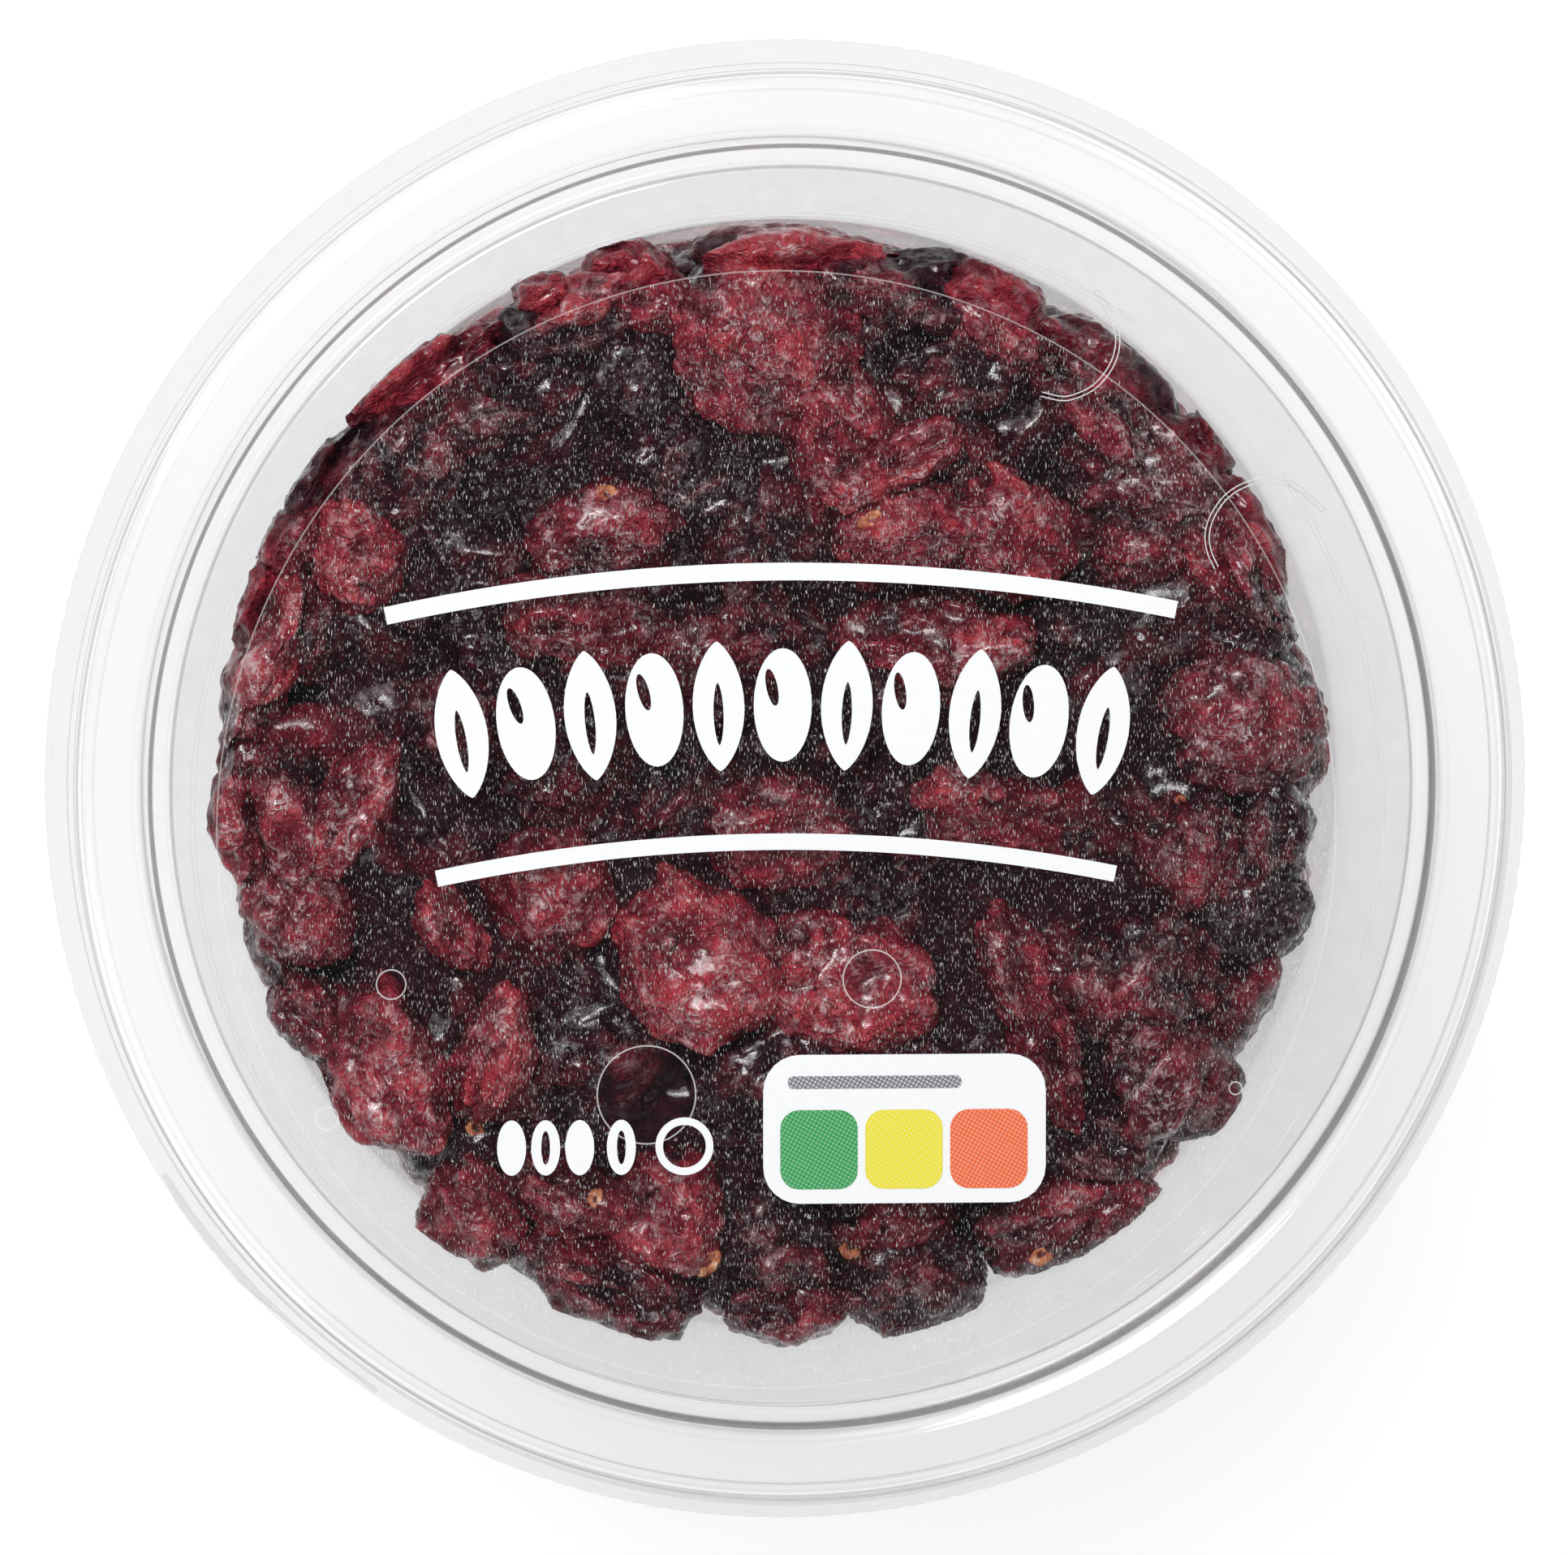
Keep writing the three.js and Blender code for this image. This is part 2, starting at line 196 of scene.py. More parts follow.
def fillet(points, reach, steps):
    """Rounds each inner corner of a line of (r, z) points with a short curve."""
    corners = [Vector(place) for place in points]
    line = [corners[0]]
    for before, corner, after in zip(corners, corners[1:], corners[2:]):
        into = before - corner
        out = after - corner
        start = corner + into.normalized() * min(reach, into.length * 0.45)
        end = corner + out.normalized() * min(reach, out.length * 0.45)
        for i in range(steps + 1):
            share = i / steps
            line.append(start.lerp(corner, share).lerp(corner.lerp(end, share), share))
    line.append(corners[-1])
    return line


def sheet_outline(centre_line, thickness, edge_steps=5):
    """Both faces of a sheet that follows a centre line from the axis to a rounded free edge."""
    upper = []
    lower = []
    for i, place in enumerate(centre_line):
        before = centre_line[max(i - 1, 0)]
        after = centre_line[min(i + 1, len(centre_line) - 1)]
        along = (after - before).normalized()
        side = Vector((-along.y, along.x)) * thickness / 2
        upper.append(place + side)
        lower.append(place - side)
    upper[0].x = 0
    lower[0].x = 0
    end = centre_line[-1]
    out = (end - centre_line[-2]).normalized()
    side = Vector((-out.y, out.x))
    edge = []
    for i in range(1, edge_steps):
        turn = math.pi * i / edge_steps
        edge.append(end + (out * math.sin(turn) - side * math.cos(turn)) * thickness / 2)
    return lower + edge + upper[::-1]


def turned(name, outline, steps, smooth_angle=35):
    """Spins an outline of (r, z) points about Z."""
    draw_line([(r, 0, z) for r, z in outline])
    bpy.ops.mesh.select_all(action="SELECT")
    bpy.ops.mesh.spin(steps=steps, angle=2 * math.pi, center=(0, 0, 0), axis=(0, 0, 1))
    bpy.ops.mesh.select_all(action="SELECT")
    bpy.ops.mesh.remove_doubles(threshold=0.002 * MM)
    bpy.ops.mesh.normals_make_consistent(inside=False)
    return finish_piece(name, smooth_angle)


def spot(turn, r, z=0.0):
    """Place at a turn in degrees and a radius."""
    return (math.cos(math.radians(turn)) * r, math.sin(math.radians(turn)) * r, z)


class Draw:
    """Seeded draws between two values, the same on every run."""
    STEP = 16807
    SPAN = 2147483647

    def __init__(self, seed):
        self.state = seed

    def __call__(self, low, high):
        self.state = (self.state * self.STEP) % self.SPAN
        return low + (high - low) * self.state / self.SPAN


# Materials

def add_node(tree, kind, values=None, **settings):
    """Adds a node. Values are its inputs: a socket is linked and anything else is set."""
    made = tree.nodes.new(kind)
    for key, value in settings.items():
        setattr(made, key, value)
    for key, value in (values or {}).items():
        if isinstance(value, bpy.types.NodeSocket):
            tree.links.new(value, made.inputs[key])
        else:
            made.inputs[key].default_value = value
    return made


def calc(tree, operation, first, second=0.0, third=0.0, clamp=False):
    """Output of a Math node on two or three numbers or sockets."""
    values = {0: first, 1: second, 2: third}
    return add_node(tree, "ShaderNodeMath", values, operation=operation, use_clamp=clamp).outputs[0]


def ramp(tree, value, stops, interpolation="LINEAR"):
    """Colour Ramp through (position, colour) stops. A single number stands for a grey."""
    made = add_node(tree, "ShaderNodeValToRGB", {"Fac": value})
    band = made.color_ramp
    band.interpolation = interpolation
    while len(band.elements) < len(stops):
        band.elements.new(0.5)
    for element, (position, colour) in zip(band.elements, stops):
        element.position = position
        grey = isinstance(colour, (int, float))
        element.color = (colour, colour, colour, 1) if grey else (*colour, 1)
    return made.outputs["Color"]


def blend_colour(tree, factor, first, second, mode="MIX"):
    made = tree.nodes.new("ShaderNodeMix")
    made.data_type = "RGBA"
    made.blend_type = mode
    sockets = {s.identifier: s for s in made.inputs}
    for key, value in (("Factor_Float", factor), ("A_Color", first), ("B_Color", second)):
        if isinstance(value, bpy.types.NodeSocket):
            tree.links.new(value, sockets[key])
        else:
            sockets[key].default_value = value if isinstance(value, float) else (*value, 1)
    return next(s for s in made.outputs if s.identifier == "Result_Color")


def noise_at(tree, place, scale, detail=2.0, stretch=None, roughness=0.5):
    """Noise value at a place in mm. Scale is waves to a millimetre."""
    if stretch:
        place = add_node(tree, "ShaderNodeMapping", {"Vector": place, "Scale": stretch}).outputs[0]
    values = {"Vector": place, "Scale": scale, "Detail": detail, "Roughness": roughness}
    return add_node(tree, "ShaderNodeTexNoise", values).outputs["Fac"]


def new_group(name, inputs, outputs):
    """Empty shader group with a Place input in mm and named number inputs and outputs."""
    tree = bpy.data.node_groups.new(name, "ShaderNodeTree")
    tree.interface.new_socket("Place", in_out="INPUT", socket_type="NodeSocketVector")
    for label, value in inputs.items():
        made = tree.interface.new_socket(label, in_out="INPUT", socket_type="NodeSocketFloat")
        made.default_value = value
    for label in outputs:
        tree.interface.new_socket(label, in_out="OUTPUT", socket_type="NodeSocketFloat")
    start = tree.nodes.new("NodeGroupInput")
    end = tree.nodes.new("NodeGroupOutput")
    return tree, start.outputs, end.inputs


def use_group(tree, group, values):
    made = tree.nodes.new("ShaderNodeGroup")
    made.node_tree = group
    for key, value in values.items():
        if isinstance(value, bpy.types.NodeSocket):
            tree.links.new(value, made.inputs[key])
        else:
            made.inputs[key].default_value = value
    return made.outputs


def new_material(name, **settings):
    """Material with a Principled shader. Returns it, its tree, the shader and the place in mm."""
    material = bpy.data.materials.new(name)
    material.use_nodes = True
    tree = material.node_tree
    shader = tree.nodes["Principled BSDF"]
    for key, value in settings.items():
        shader.inputs[key.replace("_", " ")].default_value = value
    here = tree.nodes.new("ShaderNodeTexCoord").outputs["Object"]
    scale = (1 / MM,) * 3
    place = add_node(tree, "ShaderNodeMapping", {"Vector": here, "Scale": scale}).outputs[0]
    return material, tree, shader, place


def bump(tree, shader, height, distance, strength):
    values = {"Height": height, "Distance": distance * MM, "Strength": strength}
    normal = add_node(tree, "ShaderNodeBump", values).outputs[0]
    tree.links.new(normal, shader.inputs["Normal"])


def skin_mottle_group():
    """Mottled dried skin: broad colour drift, fine blotches, a net of wrinkle lines and their height."""
    tree, given, result = new_group(
        "skin_mottle", {"Wrinkle": 1.0}, ("Drift", "Blotch", "Line", "Height"))
    place = given["Place"]
    drift = noise_at(tree, place, 0.2, 1, roughness=0.6)
    blotch = noise_at(tree, place, 0.9, 2, roughness=0.65)
    warp = add_node(tree, "ShaderNodeTexNoise", {"Vector": place, "Scale": 0.5, "Detail": 0.0}).outputs["Color"]
    warped = add_node(tree, "ShaderNodeVectorMath", {0: warp, 1: (2.4, 2.4, 2.4), 2: place},
                      operation="MULTIPLY_ADD").outputs[0]
    folds = noise_at(tree, warped, 1.1, 2, roughness=0.6)
    billow = calc(tree, "ABSOLUTE", calc(tree, "SUBTRACT", folds, 0.5))
    line = calc(tree, "MULTIPLY_ADD", billow, -12.0, 1.0, clamp=True)
    grain = calc(tree, "MULTIPLY", noise_at(tree, place, 3.6, 1), 0.36)
    wrinkle = calc(tree, "MULTIPLY", calc(tree, "MULTIPLY_ADD", billow, -3.2, 1.0), given["Wrinkle"])
    tree.links.new(drift, result["Drift"])
    tree.links.new(blotch, result["Blotch"])
    tree.links.new(line, result["Line"])
    tree.links.new(calc(tree, "ADD", wrinkle, grain), result["Height"])
    return tree


def plastic_scuff_group():
    """Faint scuffs and draw marks on clear formed plastic."""
    tree, given, result = new_group("plastic_scuff", {"Wear": 1.0}, ("Roughness", "Height"))
    place = given["Place"]
    cloud = noise_at(tree, place, 0.12, 1)
    marks = noise_at(tree, place, 1.6, 1, stretch=(1, 1, 0.25), roughness=0.7)
    worn = calc(tree, "SUBTRACT", marks, 0.58, clamp=True)
    worn = calc(tree, "MULTIPLY", worn, given["Wear"])
    tree.links.new(calc(tree, "MULTIPLY_ADD", worn, 0.6, 0.015), result["Roughness"])
    tree.links.new(calc(tree, "ADD", cloud, calc(tree, "MULTIPLY", worn, 0.4)), result["Height"])
    return tree


def print_grain_group():
    """Fine ribbed grain of screen-printed ink."""
    tree, given, result = new_group("print_grain", {}, ("Shade", "Height"))
    place = given["Place"]
    weave = add_node(tree, "ShaderNodeTexWave", {"Vector": place, "Scale": 1.3, "Distortion": 1.5},
                     bands_direction="Y").outputs["Fac"]
    fine = noise_at(tree, place, 3.0, 2)
    shade = calc(tree, "MULTIPLY_ADD", fine, 0.06, 0.94)
    tree.links.new(shade, result["Shade"])
    tree.links.new(calc(tree, "MULTIPLY_ADD", weave, 0.3, fine), result["Height"])
    return tree


def halftone_group():
    """Grid of printed dots, set at a slant."""
    tree, given, result = new_group("halftone", {"Pitch": 0.3, "Dot": 0.4}, ("Mask",))
    slant = add_node(tree, "ShaderNodeVectorRotate", {"Vector": given["Place"], "Angle": 0.5},
                     rotation_type="Z_AXIS").outputs[0]
    parts = add_node(tree, "ShaderNodeSeparateXYZ", {"Vector": slant}).outputs
    squares = []
    for axis in ("X", "Y"):
        cell = calc(tree, "FRACT", calc(tree, "DIVIDE", parts[axis], given["Pitch"]))
        off = calc(tree, "SUBTRACT", cell, 0.5)
        squares.append(calc(tree, "MULTIPLY", off, off))
    distance = calc(tree, "SQRT", calc(tree, "ADD", *squares))
    tree.links.new(calc(tree, "LESS_THAN", distance, given["Dot"]), result["Mask"])
    return tree


def film_speck_group():
    """Adhesive silvering: short pale dashes that run up and down the film."""
    tree, given, result = new_group("film_speck", {"Cover": 0.58}, ("Speck", "Cloud"))
    place = given["Place"]
    dashes = noise_at(tree, place, 1.0, 1, stretch=(12.5, 2.1, 1), roughness=0.5)
    drift = noise_at(tree, place, 0.35, 1)
    edge = calc(tree, "SUBTRACT", given["Cover"], calc(tree, "MULTIPLY", calc(tree, "SUBTRACT", drift, 0.5), 0.1))
    above = calc(tree, "SUBTRACT", dashes, edge)
    speck = calc(tree, "MULTIPLY", above, 30.0, clamp=True)
    glint = noise_at(tree, place, 1.4, 1)
    bright = calc(tree, "MULTIPLY_ADD", glint, 1.6, -0.25, clamp=True)
    tree.links.new(calc(tree, "MULTIPLY", speck, bright), result["Speck"])
    tree.links.new(drift, result["Cloud"])
    return tree


# How far the plastic is drawn as a sheet that doesn't bend light, and where a painted shade darkens it edge on
THIN_SHARE = 0.95
EDGE_SLOPE = (0.84, 0.97)


def pass_light(tree, seen, tint):
    """Ends a material that the eye sees as given, and that lets shadow and bounced rays straight through."""
    path = tree.nodes.new("ShaderNodeLightPath").outputs
    passes = calc(tree, "MAXIMUM", path["Is Shadow Ray"], path["Is Diffuse Ray"])
    clear = add_node(tree, "ShaderNodeBsdfTransparent", {"Color": tint}).outputs[0]
    mixed = add_node(tree, "ShaderNodeMixShader", {0: passes, 1: seen, 2: clear}).outputs[0]
    tree.links.new(mixed, tree.nodes["Material Output"].inputs["Surface"])


# Painted dark rings where the lid bends, for the light that the bends turn aside: radius, half width, and how much
# light they take
PAINTED_BEND_RINGS = (
    (49.15, 0.1, 0.3),
    (50.8, 0.16, 0.6),
    (55.3, 0.07, 0.1),
    (56.6, 0.08, 0.32),
    (57.9, 1.1, 0.1),
)
RING_BLUR = 0.08
# Share of light let through the flat panel: a painted shade for the shaded table below
PANEL_PAINTED_SHADE = 0.86


def lid_painted_shade_group():
    """Painted shade as a share of light let through: fine dark rings where the lid bends, and a faint grey over its
    flat panel for the shaded table seen through it.
    """
    tree, given, result = new_group("lid_painted_shade", {}, ("Clear",))
    place = given["Place"]
    flat = add_node(tree, "ShaderNodeVectorMath", {0: place, 1: (1, 1, 0)}, operation="MULTIPLY").outputs[0]
    out = add_node(tree, "ShaderNodeVectorMath", {0: flat}, operation="LENGTH").outputs["Value"]
    clear = calc(tree, "ADD", 1.0, 0.0)
    for r, half, depth in PAINTED_BEND_RINGS:
        off = calc(tree, "ABSOLUTE", calc(tree, "SUBTRACT", out, r))
        shade = add_node(tree, "ShaderNodeMapRange", {
            "Value": off, "From Min": half, "From Max": half + RING_BLUR,
            "To Min": 1 - depth, "To Max": 1.0}).outputs["Result"]
        clear = calc(tree, "MULTIPLY", clear, shade)
    # Painted shade of the panel, with a faint drift
    shade_drift = noise_at(tree, place, 0.5, 3, roughness=0.65)
    panel_grey_shade = calc(tree, "MULTIPLY_ADD", shade_drift, 0.1, PANEL_PAINTED_SHADE - 0.05)
    inside = calc(tree, "LESS_THAN", out, PANEL_R)
    shaded_panel = calc(tree, "MULTIPLY_ADD", inside, calc(tree, "SUBTRACT", panel_grey_shade, 1.0), 1.0)
    tree.links.new(calc(tree, "MULTIPLY", clear, shaded_panel), result["Clear"])
    return tree


def clear_plastic(name, scuff, wear, flat, painted_edge_shade, painted_rings=None):
    """Thin clear plastic: sheer face on, greyer edge on by a painted shade, with a gloss that grows to the edge."""
    material, tree, shader, place = new_material(
        name, Base_Color=(0.98, 0.985, 0.99, 1), Transmission_Weight=1.0, IOR=1.46, Metallic=0.0)
    marks = use_group(tree, scuff, {"Place": place, "Wear": wear})
    tree.links.new(marks["Roughness"], shader.inputs["Roughness"])
    bump(tree, shader, marks["Height"], 0.05, 0.12)
    leaving = tree.nodes.new("ShaderNodeNewGeometry").outputs["Backfacing"]
    facing = add_node(tree, "ShaderNodeLayerWeight", {"Blend": 0.5}).outputs["Facing"]
    slope = calc(tree, "MULTIPLY", facing, calc(tree, "SUBTRACT", 1.0, leaving))
    # Painted shade: the sheer tint turns to the edge-on colour as the sheet turns edge on to the eye
    tint = ramp(tree, slope, ((0.0, flat), (EDGE_SLOPE[0], flat), (EDGE_SLOPE[1], painted_edge_shade)))
    # Painted shade: dark rings at the lid's bends and grey over its panel
    if painted_rings:
        clear = use_group(tree, painted_rings, {"Place": place})["Clear"]
        clear = calc(tree, "MAXIMUM", clear, leaving)
        tint = blend_colour(tree, 1.0, tint, clear, "MULTIPLY")
    sheer = add_node(tree, "ShaderNodeBsdfTransparent", {"Color": tint}).outputs[0]
    glossy = add_node(tree, "ShaderNodeBsdfGlossy", {"Roughness": marks["Roughness"]}).outputs[0]
    mirror = add_node(tree, "ShaderNodeFresnel", {"IOR": 1.46}).outputs[0]
    mirror = calc(tree, "MULTIPLY", mirror, calc(tree, "SUBTRACT", 1.0, leaving))
    thin = add_node(tree, "ShaderNodeMixShader", {0: mirror, 1: sheer, 2: glossy}).outputs[0]
    seen = add_node(tree, "ShaderNodeMixShader", {0: THIN_SHARE, 1: shader.outputs[0], 2: thin}).outputs[0]
    pass_light(tree, seen, (0.98, 0.983, 0.987, 1))
    return material


# Clear bubbles in the film, without specks: x, y and radius
BUBBLES = (
    (-11.6, -24.3, 3.9),
    (6.3, -15.2, 2.3),
    (-31.8, -15.4, 1.16),
    (-36.9, -26.0, 0.9),
    (20.4, 39.5, 0.55),
    (35.2, -24.1, 0.5),
)
# Width of the painted highlight round each bubble
BUBBLE_HIGHLIGHT_WIDTH = 0.11
FILM_EDGE = 0.12


def label_film(specks):
    """Clear film with pale specks, clear bubbles with a painted highlight on their fine rim, and a pale cut edge."""
    material, tree, shader, place = new_material(
        "label_film", Base_Color=(0.88, 0.85, 0.84, 1), Roughness=0.5, IOR=1.45)
    found = use_group(tree, specks, {"Place": place, "Cover": 0.655})
    flat = add_node(tree, "ShaderNodeVectorMath", {0: place, 1: (1, 1, 0)}, operation="MULTIPLY").outputs[0]
    speck = found["Speck"]
    rim_highlights = calc(tree, "ADD", 0.0, 0.0)
    for x, y, r in BUBBLES:
        off = add_node(tree, "ShaderNodeVectorMath", {0: flat, 1: (x, y, 0)}, operation="DISTANCE").outputs["Value"]
        speck = calc(tree, "MULTIPLY", speck, calc(tree, "GREATER_THAN", off, r))
        # Painted highlight: a pale line round each bubble
        near = calc(tree, "ABSOLUTE", calc(tree, "SUBTRACT", off, r))
        rim_highlights = calc(tree, "MAXIMUM", rim_highlights, calc(tree, "LESS_THAN", near, BUBBLE_HIGHLIGHT_WIDTH / 2))
    centre = (*LABEL_CENTRE, 0)
    out = add_node(tree, "ShaderNodeVectorMath", {0: flat, 1: centre}, operation="DISTANCE").outputs["Value"]
    edge = calc(tree, "GREATER_THAN", out, LABEL_R - FILM_EDGE)
    faces = tree.nodes.new("ShaderNodeNewGeometry").outputs["Normal"]
    up = add_node(tree, "ShaderNodeSeparateXYZ", {"Vector": faces}).outputs["Z"]
    top = calc(tree, "GREATER_THAN", up, 0.5)
    # Pale cover from the bubbles' painted highlights and the film's pale cut edge
    pale = calc(tree, "MAXIMUM", calc(tree, "MULTIPLY", rim_highlights, 0.3), calc(tree, "MULTIPLY", edge, 0.14))
    haze = calc(tree, "MULTIPLY", found["Cloud"], 0.004)
    cover = calc(tree, "MAXIMUM", calc(tree, "MULTIPLY", speck, 0.45), calc(tree, "MAXIMUM", pale, haze))
    tree.links.new(calc(tree, "MULTIPLY", cover, top), shader.inputs["Alpha"])
    pass_light(tree, shader.outputs[0], (1, 1, 1, 1))
    return material


def printed(name, colour, grain, halftone=None, dot_colour=None):
    """Screen-printed ink, with a fine dot screen where it is a tint."""
    material, tree, shader, place = new_material(name, Roughness=0.42, IOR=1.45)
    fine = use_group(tree, grain, {"Place": place})
    base = blend_colour(tree, 1.0, colour, fine["Shade"], "MULTIPLY")
    if halftone:
        dots = use_group(tree, halftone, {"Place": place, "Pitch": 0.3, "Dot": 0.36})["Mask"]
        base = blend_colour(tree, dots, base, dot_colour)
    tree.links.new(base, shader.inputs["Base Color"])
    bump(tree, shader, fine["Height"], 0.03, 0.3)
    return material


SKIN_RAMP = (
    (0.0, (0.019, 0.003, 0.008)),
    (0.2, (0.045, 0.004, 0.011)),
    (0.4, (0.1, 0.0055, 0.015)),
    (0.65, (0.2, 0.0115, 0.026)),
    (0.85, (0.33, 0.022, 0.042)),
    (1.0, (0.46, 0.04, 0.055)),
)
# Colour of the pale haze with its painted sheen
HAZE_SHEEN_COLOUR = (0.7, 0.33, 0.35)
# Colour of the painted glints
GLINT_PAINT_COLOUR = (0.76, 0.6, 0.62)


def cranberry_skin(mottle):
    """Wrinkled sticky skin: crimson to near black, with painted shade deep down and in the creases, painted light near
    the upper wall, a pale haze with a painted sheen where it is pressed to the plastic, and painted glints on its
    wrinkles.
    """
    material, tree, shader, place = new_material(
        "dried_cranberry_skin", IOR=1.38, Specular_IOR_Level=0.32, Coat_Roughness=0.1, Coat_IOR=1.5)
    skin = use_group(tree, mottle, {"Place": place, "Wrinkle": 1.0})
    mark = {name: add_node(tree, "ShaderNodeAttribute", attribute_name=name).outputs["Fac"]
            for name in ("tint", "ridge", "inset")}
    drift = calc(tree, "MULTIPLY_ADD", skin["Drift"], 0.8, -0.4)
    blotch = calc(tree, "MULTIPLY_ADD", skin["Blotch"], 0.4, -0.2)
    # Painted shade in the creases and painted light on the ridges
    crease_shade = calc(tree, "MULTIPLY_ADD", mark["ridge"], 0.6, -0.3)
    # Painted shade: the deeper the skin lies below the panel or behind the wall, the darker it is
    depth_shade = calc(tree, "MULTIPLY", mark["inset"], -0.12)
    tone = calc(tree, "ADD", calc(tree, "MULTIPLY_ADD", mark["tint"], 0.9, drift), calc(tree, "ADD", blotch, crease_shade))
    # Painted light: berries near the upper wall are lighter, as if lit from the side through it
    flat = add_node(tree, "ShaderNodeVectorMath", {0: place, 1: (1, 1, 0)}, operation="MULTIPLY").outputs[0]
    out = add_node(tree, "ShaderNodeVectorMath", {0: flat}, operation="LENGTH").outputs["Value"]
    outer = add_node(tree, "ShaderNodeMapRange", {"Value": out, "From Min": 35.0, "From Max": 43.0}).outputs["Result"]
    height = add_node(tree, "ShaderNodeSeparateXYZ", {"Vector": place}).outputs["Z"]
    upper = add_node(tree, "ShaderNodeMapRange", {"Value": height, "From Min": 50.0, "From Max": 66.0}).outputs["Result"]
    outer = calc(tree, "MULTIPLY", outer, upper)
    tone = calc(tree, "ADD", tone, calc(tree, "MULTIPLY_ADD", outer, 0.14, 0.165))
    tone = calc(tree, "ADD", tone, depth_shade, clamp=True)
    colour = ramp(tree, tone, SKIN_RAMP)
    # Where the skin is pressed to the plastic: a pale haze that is partly a painted sheen
    pressed = add_node(tree, "ShaderNodeMapRange", {
        "Value": mark["inset"], "From Min": 2.6, "From Max": 0.6}).outputs["Result"]
    patch = ramp(tree, skin["Blotch"], ((0.44, 0.0), (0.62, 1.0)))
    haze_sheen = calc(tree, "MULTIPLY", calc(tree, "MULTIPLY", pressed, patch), calc(tree, "MULTIPLY", tone, 0.06))
    sheened_colour = blend_colour(tree, haze_sheen, colour, HAZE_SHEEN_COLOUR)
    # Painted glints: pale lines on the wrinkles where the skin is near the plastic, spread wider near the upper wall
    glint_spread = calc(tree, "MULTIPLY_ADD", outer, 0.09, noise_at(tree, place, 0.24, 0))
    glint_patches = add_node(tree, "ShaderNodeMapRange", {
        "Value": glint_spread, "From Min": 0.42, "From Max": 0.55}).outputs["Result"]
    glint_lines = calc(tree, "MULTIPLY", skin["Line"], calc(tree, "MULTIPLY_ADD", patch, 0.8, 0.07))
    painted_glint = calc(tree, "MULTIPLY", calc(tree, "MULTIPLY", pressed, glint_patches), glint_lines)
    tree.links.new(blend_colour(tree, painted_glint, sheened_colour, GLINT_PAINT_COLOUR), shader.inputs["Base Color"])
    rough = calc(tree, "MULTIPLY_ADD", skin["Blotch"], 0.3, 0.1)
    tree.links.new(rough, shader.inputs["Roughness"])
    coat = calc(tree, "MULTIPLY_ADD", skin["Blotch"], 5.0, -1.9, clamp=True)
    tree.links.new(coat, shader.inputs["Coat Weight"])
    bump(tree, shader, skin["Height"], 0.62, 1.0)
    return material


def heap_shadow(mottle):
    """Near-black skin deep in the heap, a painted shade for the dark between the berries."""
    material, tree, shader, place = new_material("heap_shadow", Roughness=0.5, IOR=1.4, Specular_IOR_Level=0.15)
    skin = use_group(tree, mottle, {"Place": place, "Wrinkle": 1.4})
    # Painted shade: near-black maroon
    stops = ((0.35, (0.016, 0.0025, 0.007)), (0.7, (0.045, 0.006, 0.013)))
    tree.links.new(ramp(tree, skin["Blotch"], stops), shader.inputs["Base Color"])
    bump(tree, shader, skin["Height"], 0.3, 0.9)
    return material


def stem_scar(mottle):
    """Dry tan ring where a stem was."""
    material, tree, shader, place = new_material("stem_scar", Roughness=0.6, IOR=1.45)
    skin = use_group(tree, mottle, {"Place": place, "Wrinkle": 0.6})
    stops = ((0.35, (0.30, 0.045, 0.02)), (0.55, (0.62, 0.22, 0.09)), (0.7, (0.85, 0.52, 0.33)))
    tree.links.new(ramp(tree, skin["Blotch"], stops), shader.inputs["Base Color"])
    bump(tree, shader, skin["Height"], 0.15, 0.7)
    return material


def score_highlight(grain):
    """Painted highlight: pale paint on the score line's two beads for the light that their flanks catch."""
    material, tree, shader, place = new_material("score_highlight", Roughness=0.35, IOR=1.45, Alpha=0.7)
    fine = use_group(tree, grain, {"Place": place})
    # Painted highlight colour of the beads
    base = blend_colour(tree, 1.0, (0.92, 0.93, 0.95), fine["Shade"], "MULTIPLY")
    tree.links.new(base, shader.inputs["Base Color"])
    return material


def floor_material(grain):
    """Bright pale studio table."""
    material, tree, shader, place = new_material("pale_table", Roughness=0.7, Emission_Strength=0.78)
    fine = use_group(tree, grain, {"Place": place})
    base = blend_colour(tree, 1.0, (0.3, 0.3, 0.302), fine["Shade"], "MULTIPLY")
    tree.links.new(base, shader.inputs["Base Color"])
    shader.inputs["Emission Color"].default_value = (1, 1, 1, 1)
    material.cycles.emission_sampling = "NONE"
    return material


def dress(piece, material, slot, *replaced):
    """Gives a finished piece its material and its body, and hides the parts that it replaces."""
    piece.data.materials.clear()
    piece.data.materials.append(material)
    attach(piece, "root")
    if replaced:
        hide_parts(*replaced)
    return piece


# Tub and lid

def make_tub():
    sole = TUB_WALL / 2
    centre_line = [
        (0, BASE_RAISE + sole),
        (FOOT_RING_R[0] - BASE_SLOPE_RUN, BASE_RAISE + sole),
        (FOOT_RING_R[0], sole),
        (FOOT_RING_R[1], sole),
        HEEL,
        BODY_FOOT,
        BODY_TOP,
        SHOULDER,
        (COLLAR_R[0], COLLAR_Z[0]),
        (COLLAR_R[1], COLLAR_Z[1]),
        (COLLAR_R[1] + FLANGE_ROUND, COLLAR_Z[1] + FLANGE_ROUND),
        (FLANGE_R, COLLAR_Z[1] + FLANGE_ROUND),
        *LIP,
    ]
    return turned("tub_shell", sheet_outline(fillet(centre_line, *TUB_BEND), TUB_WALL), TUB_STEPS)


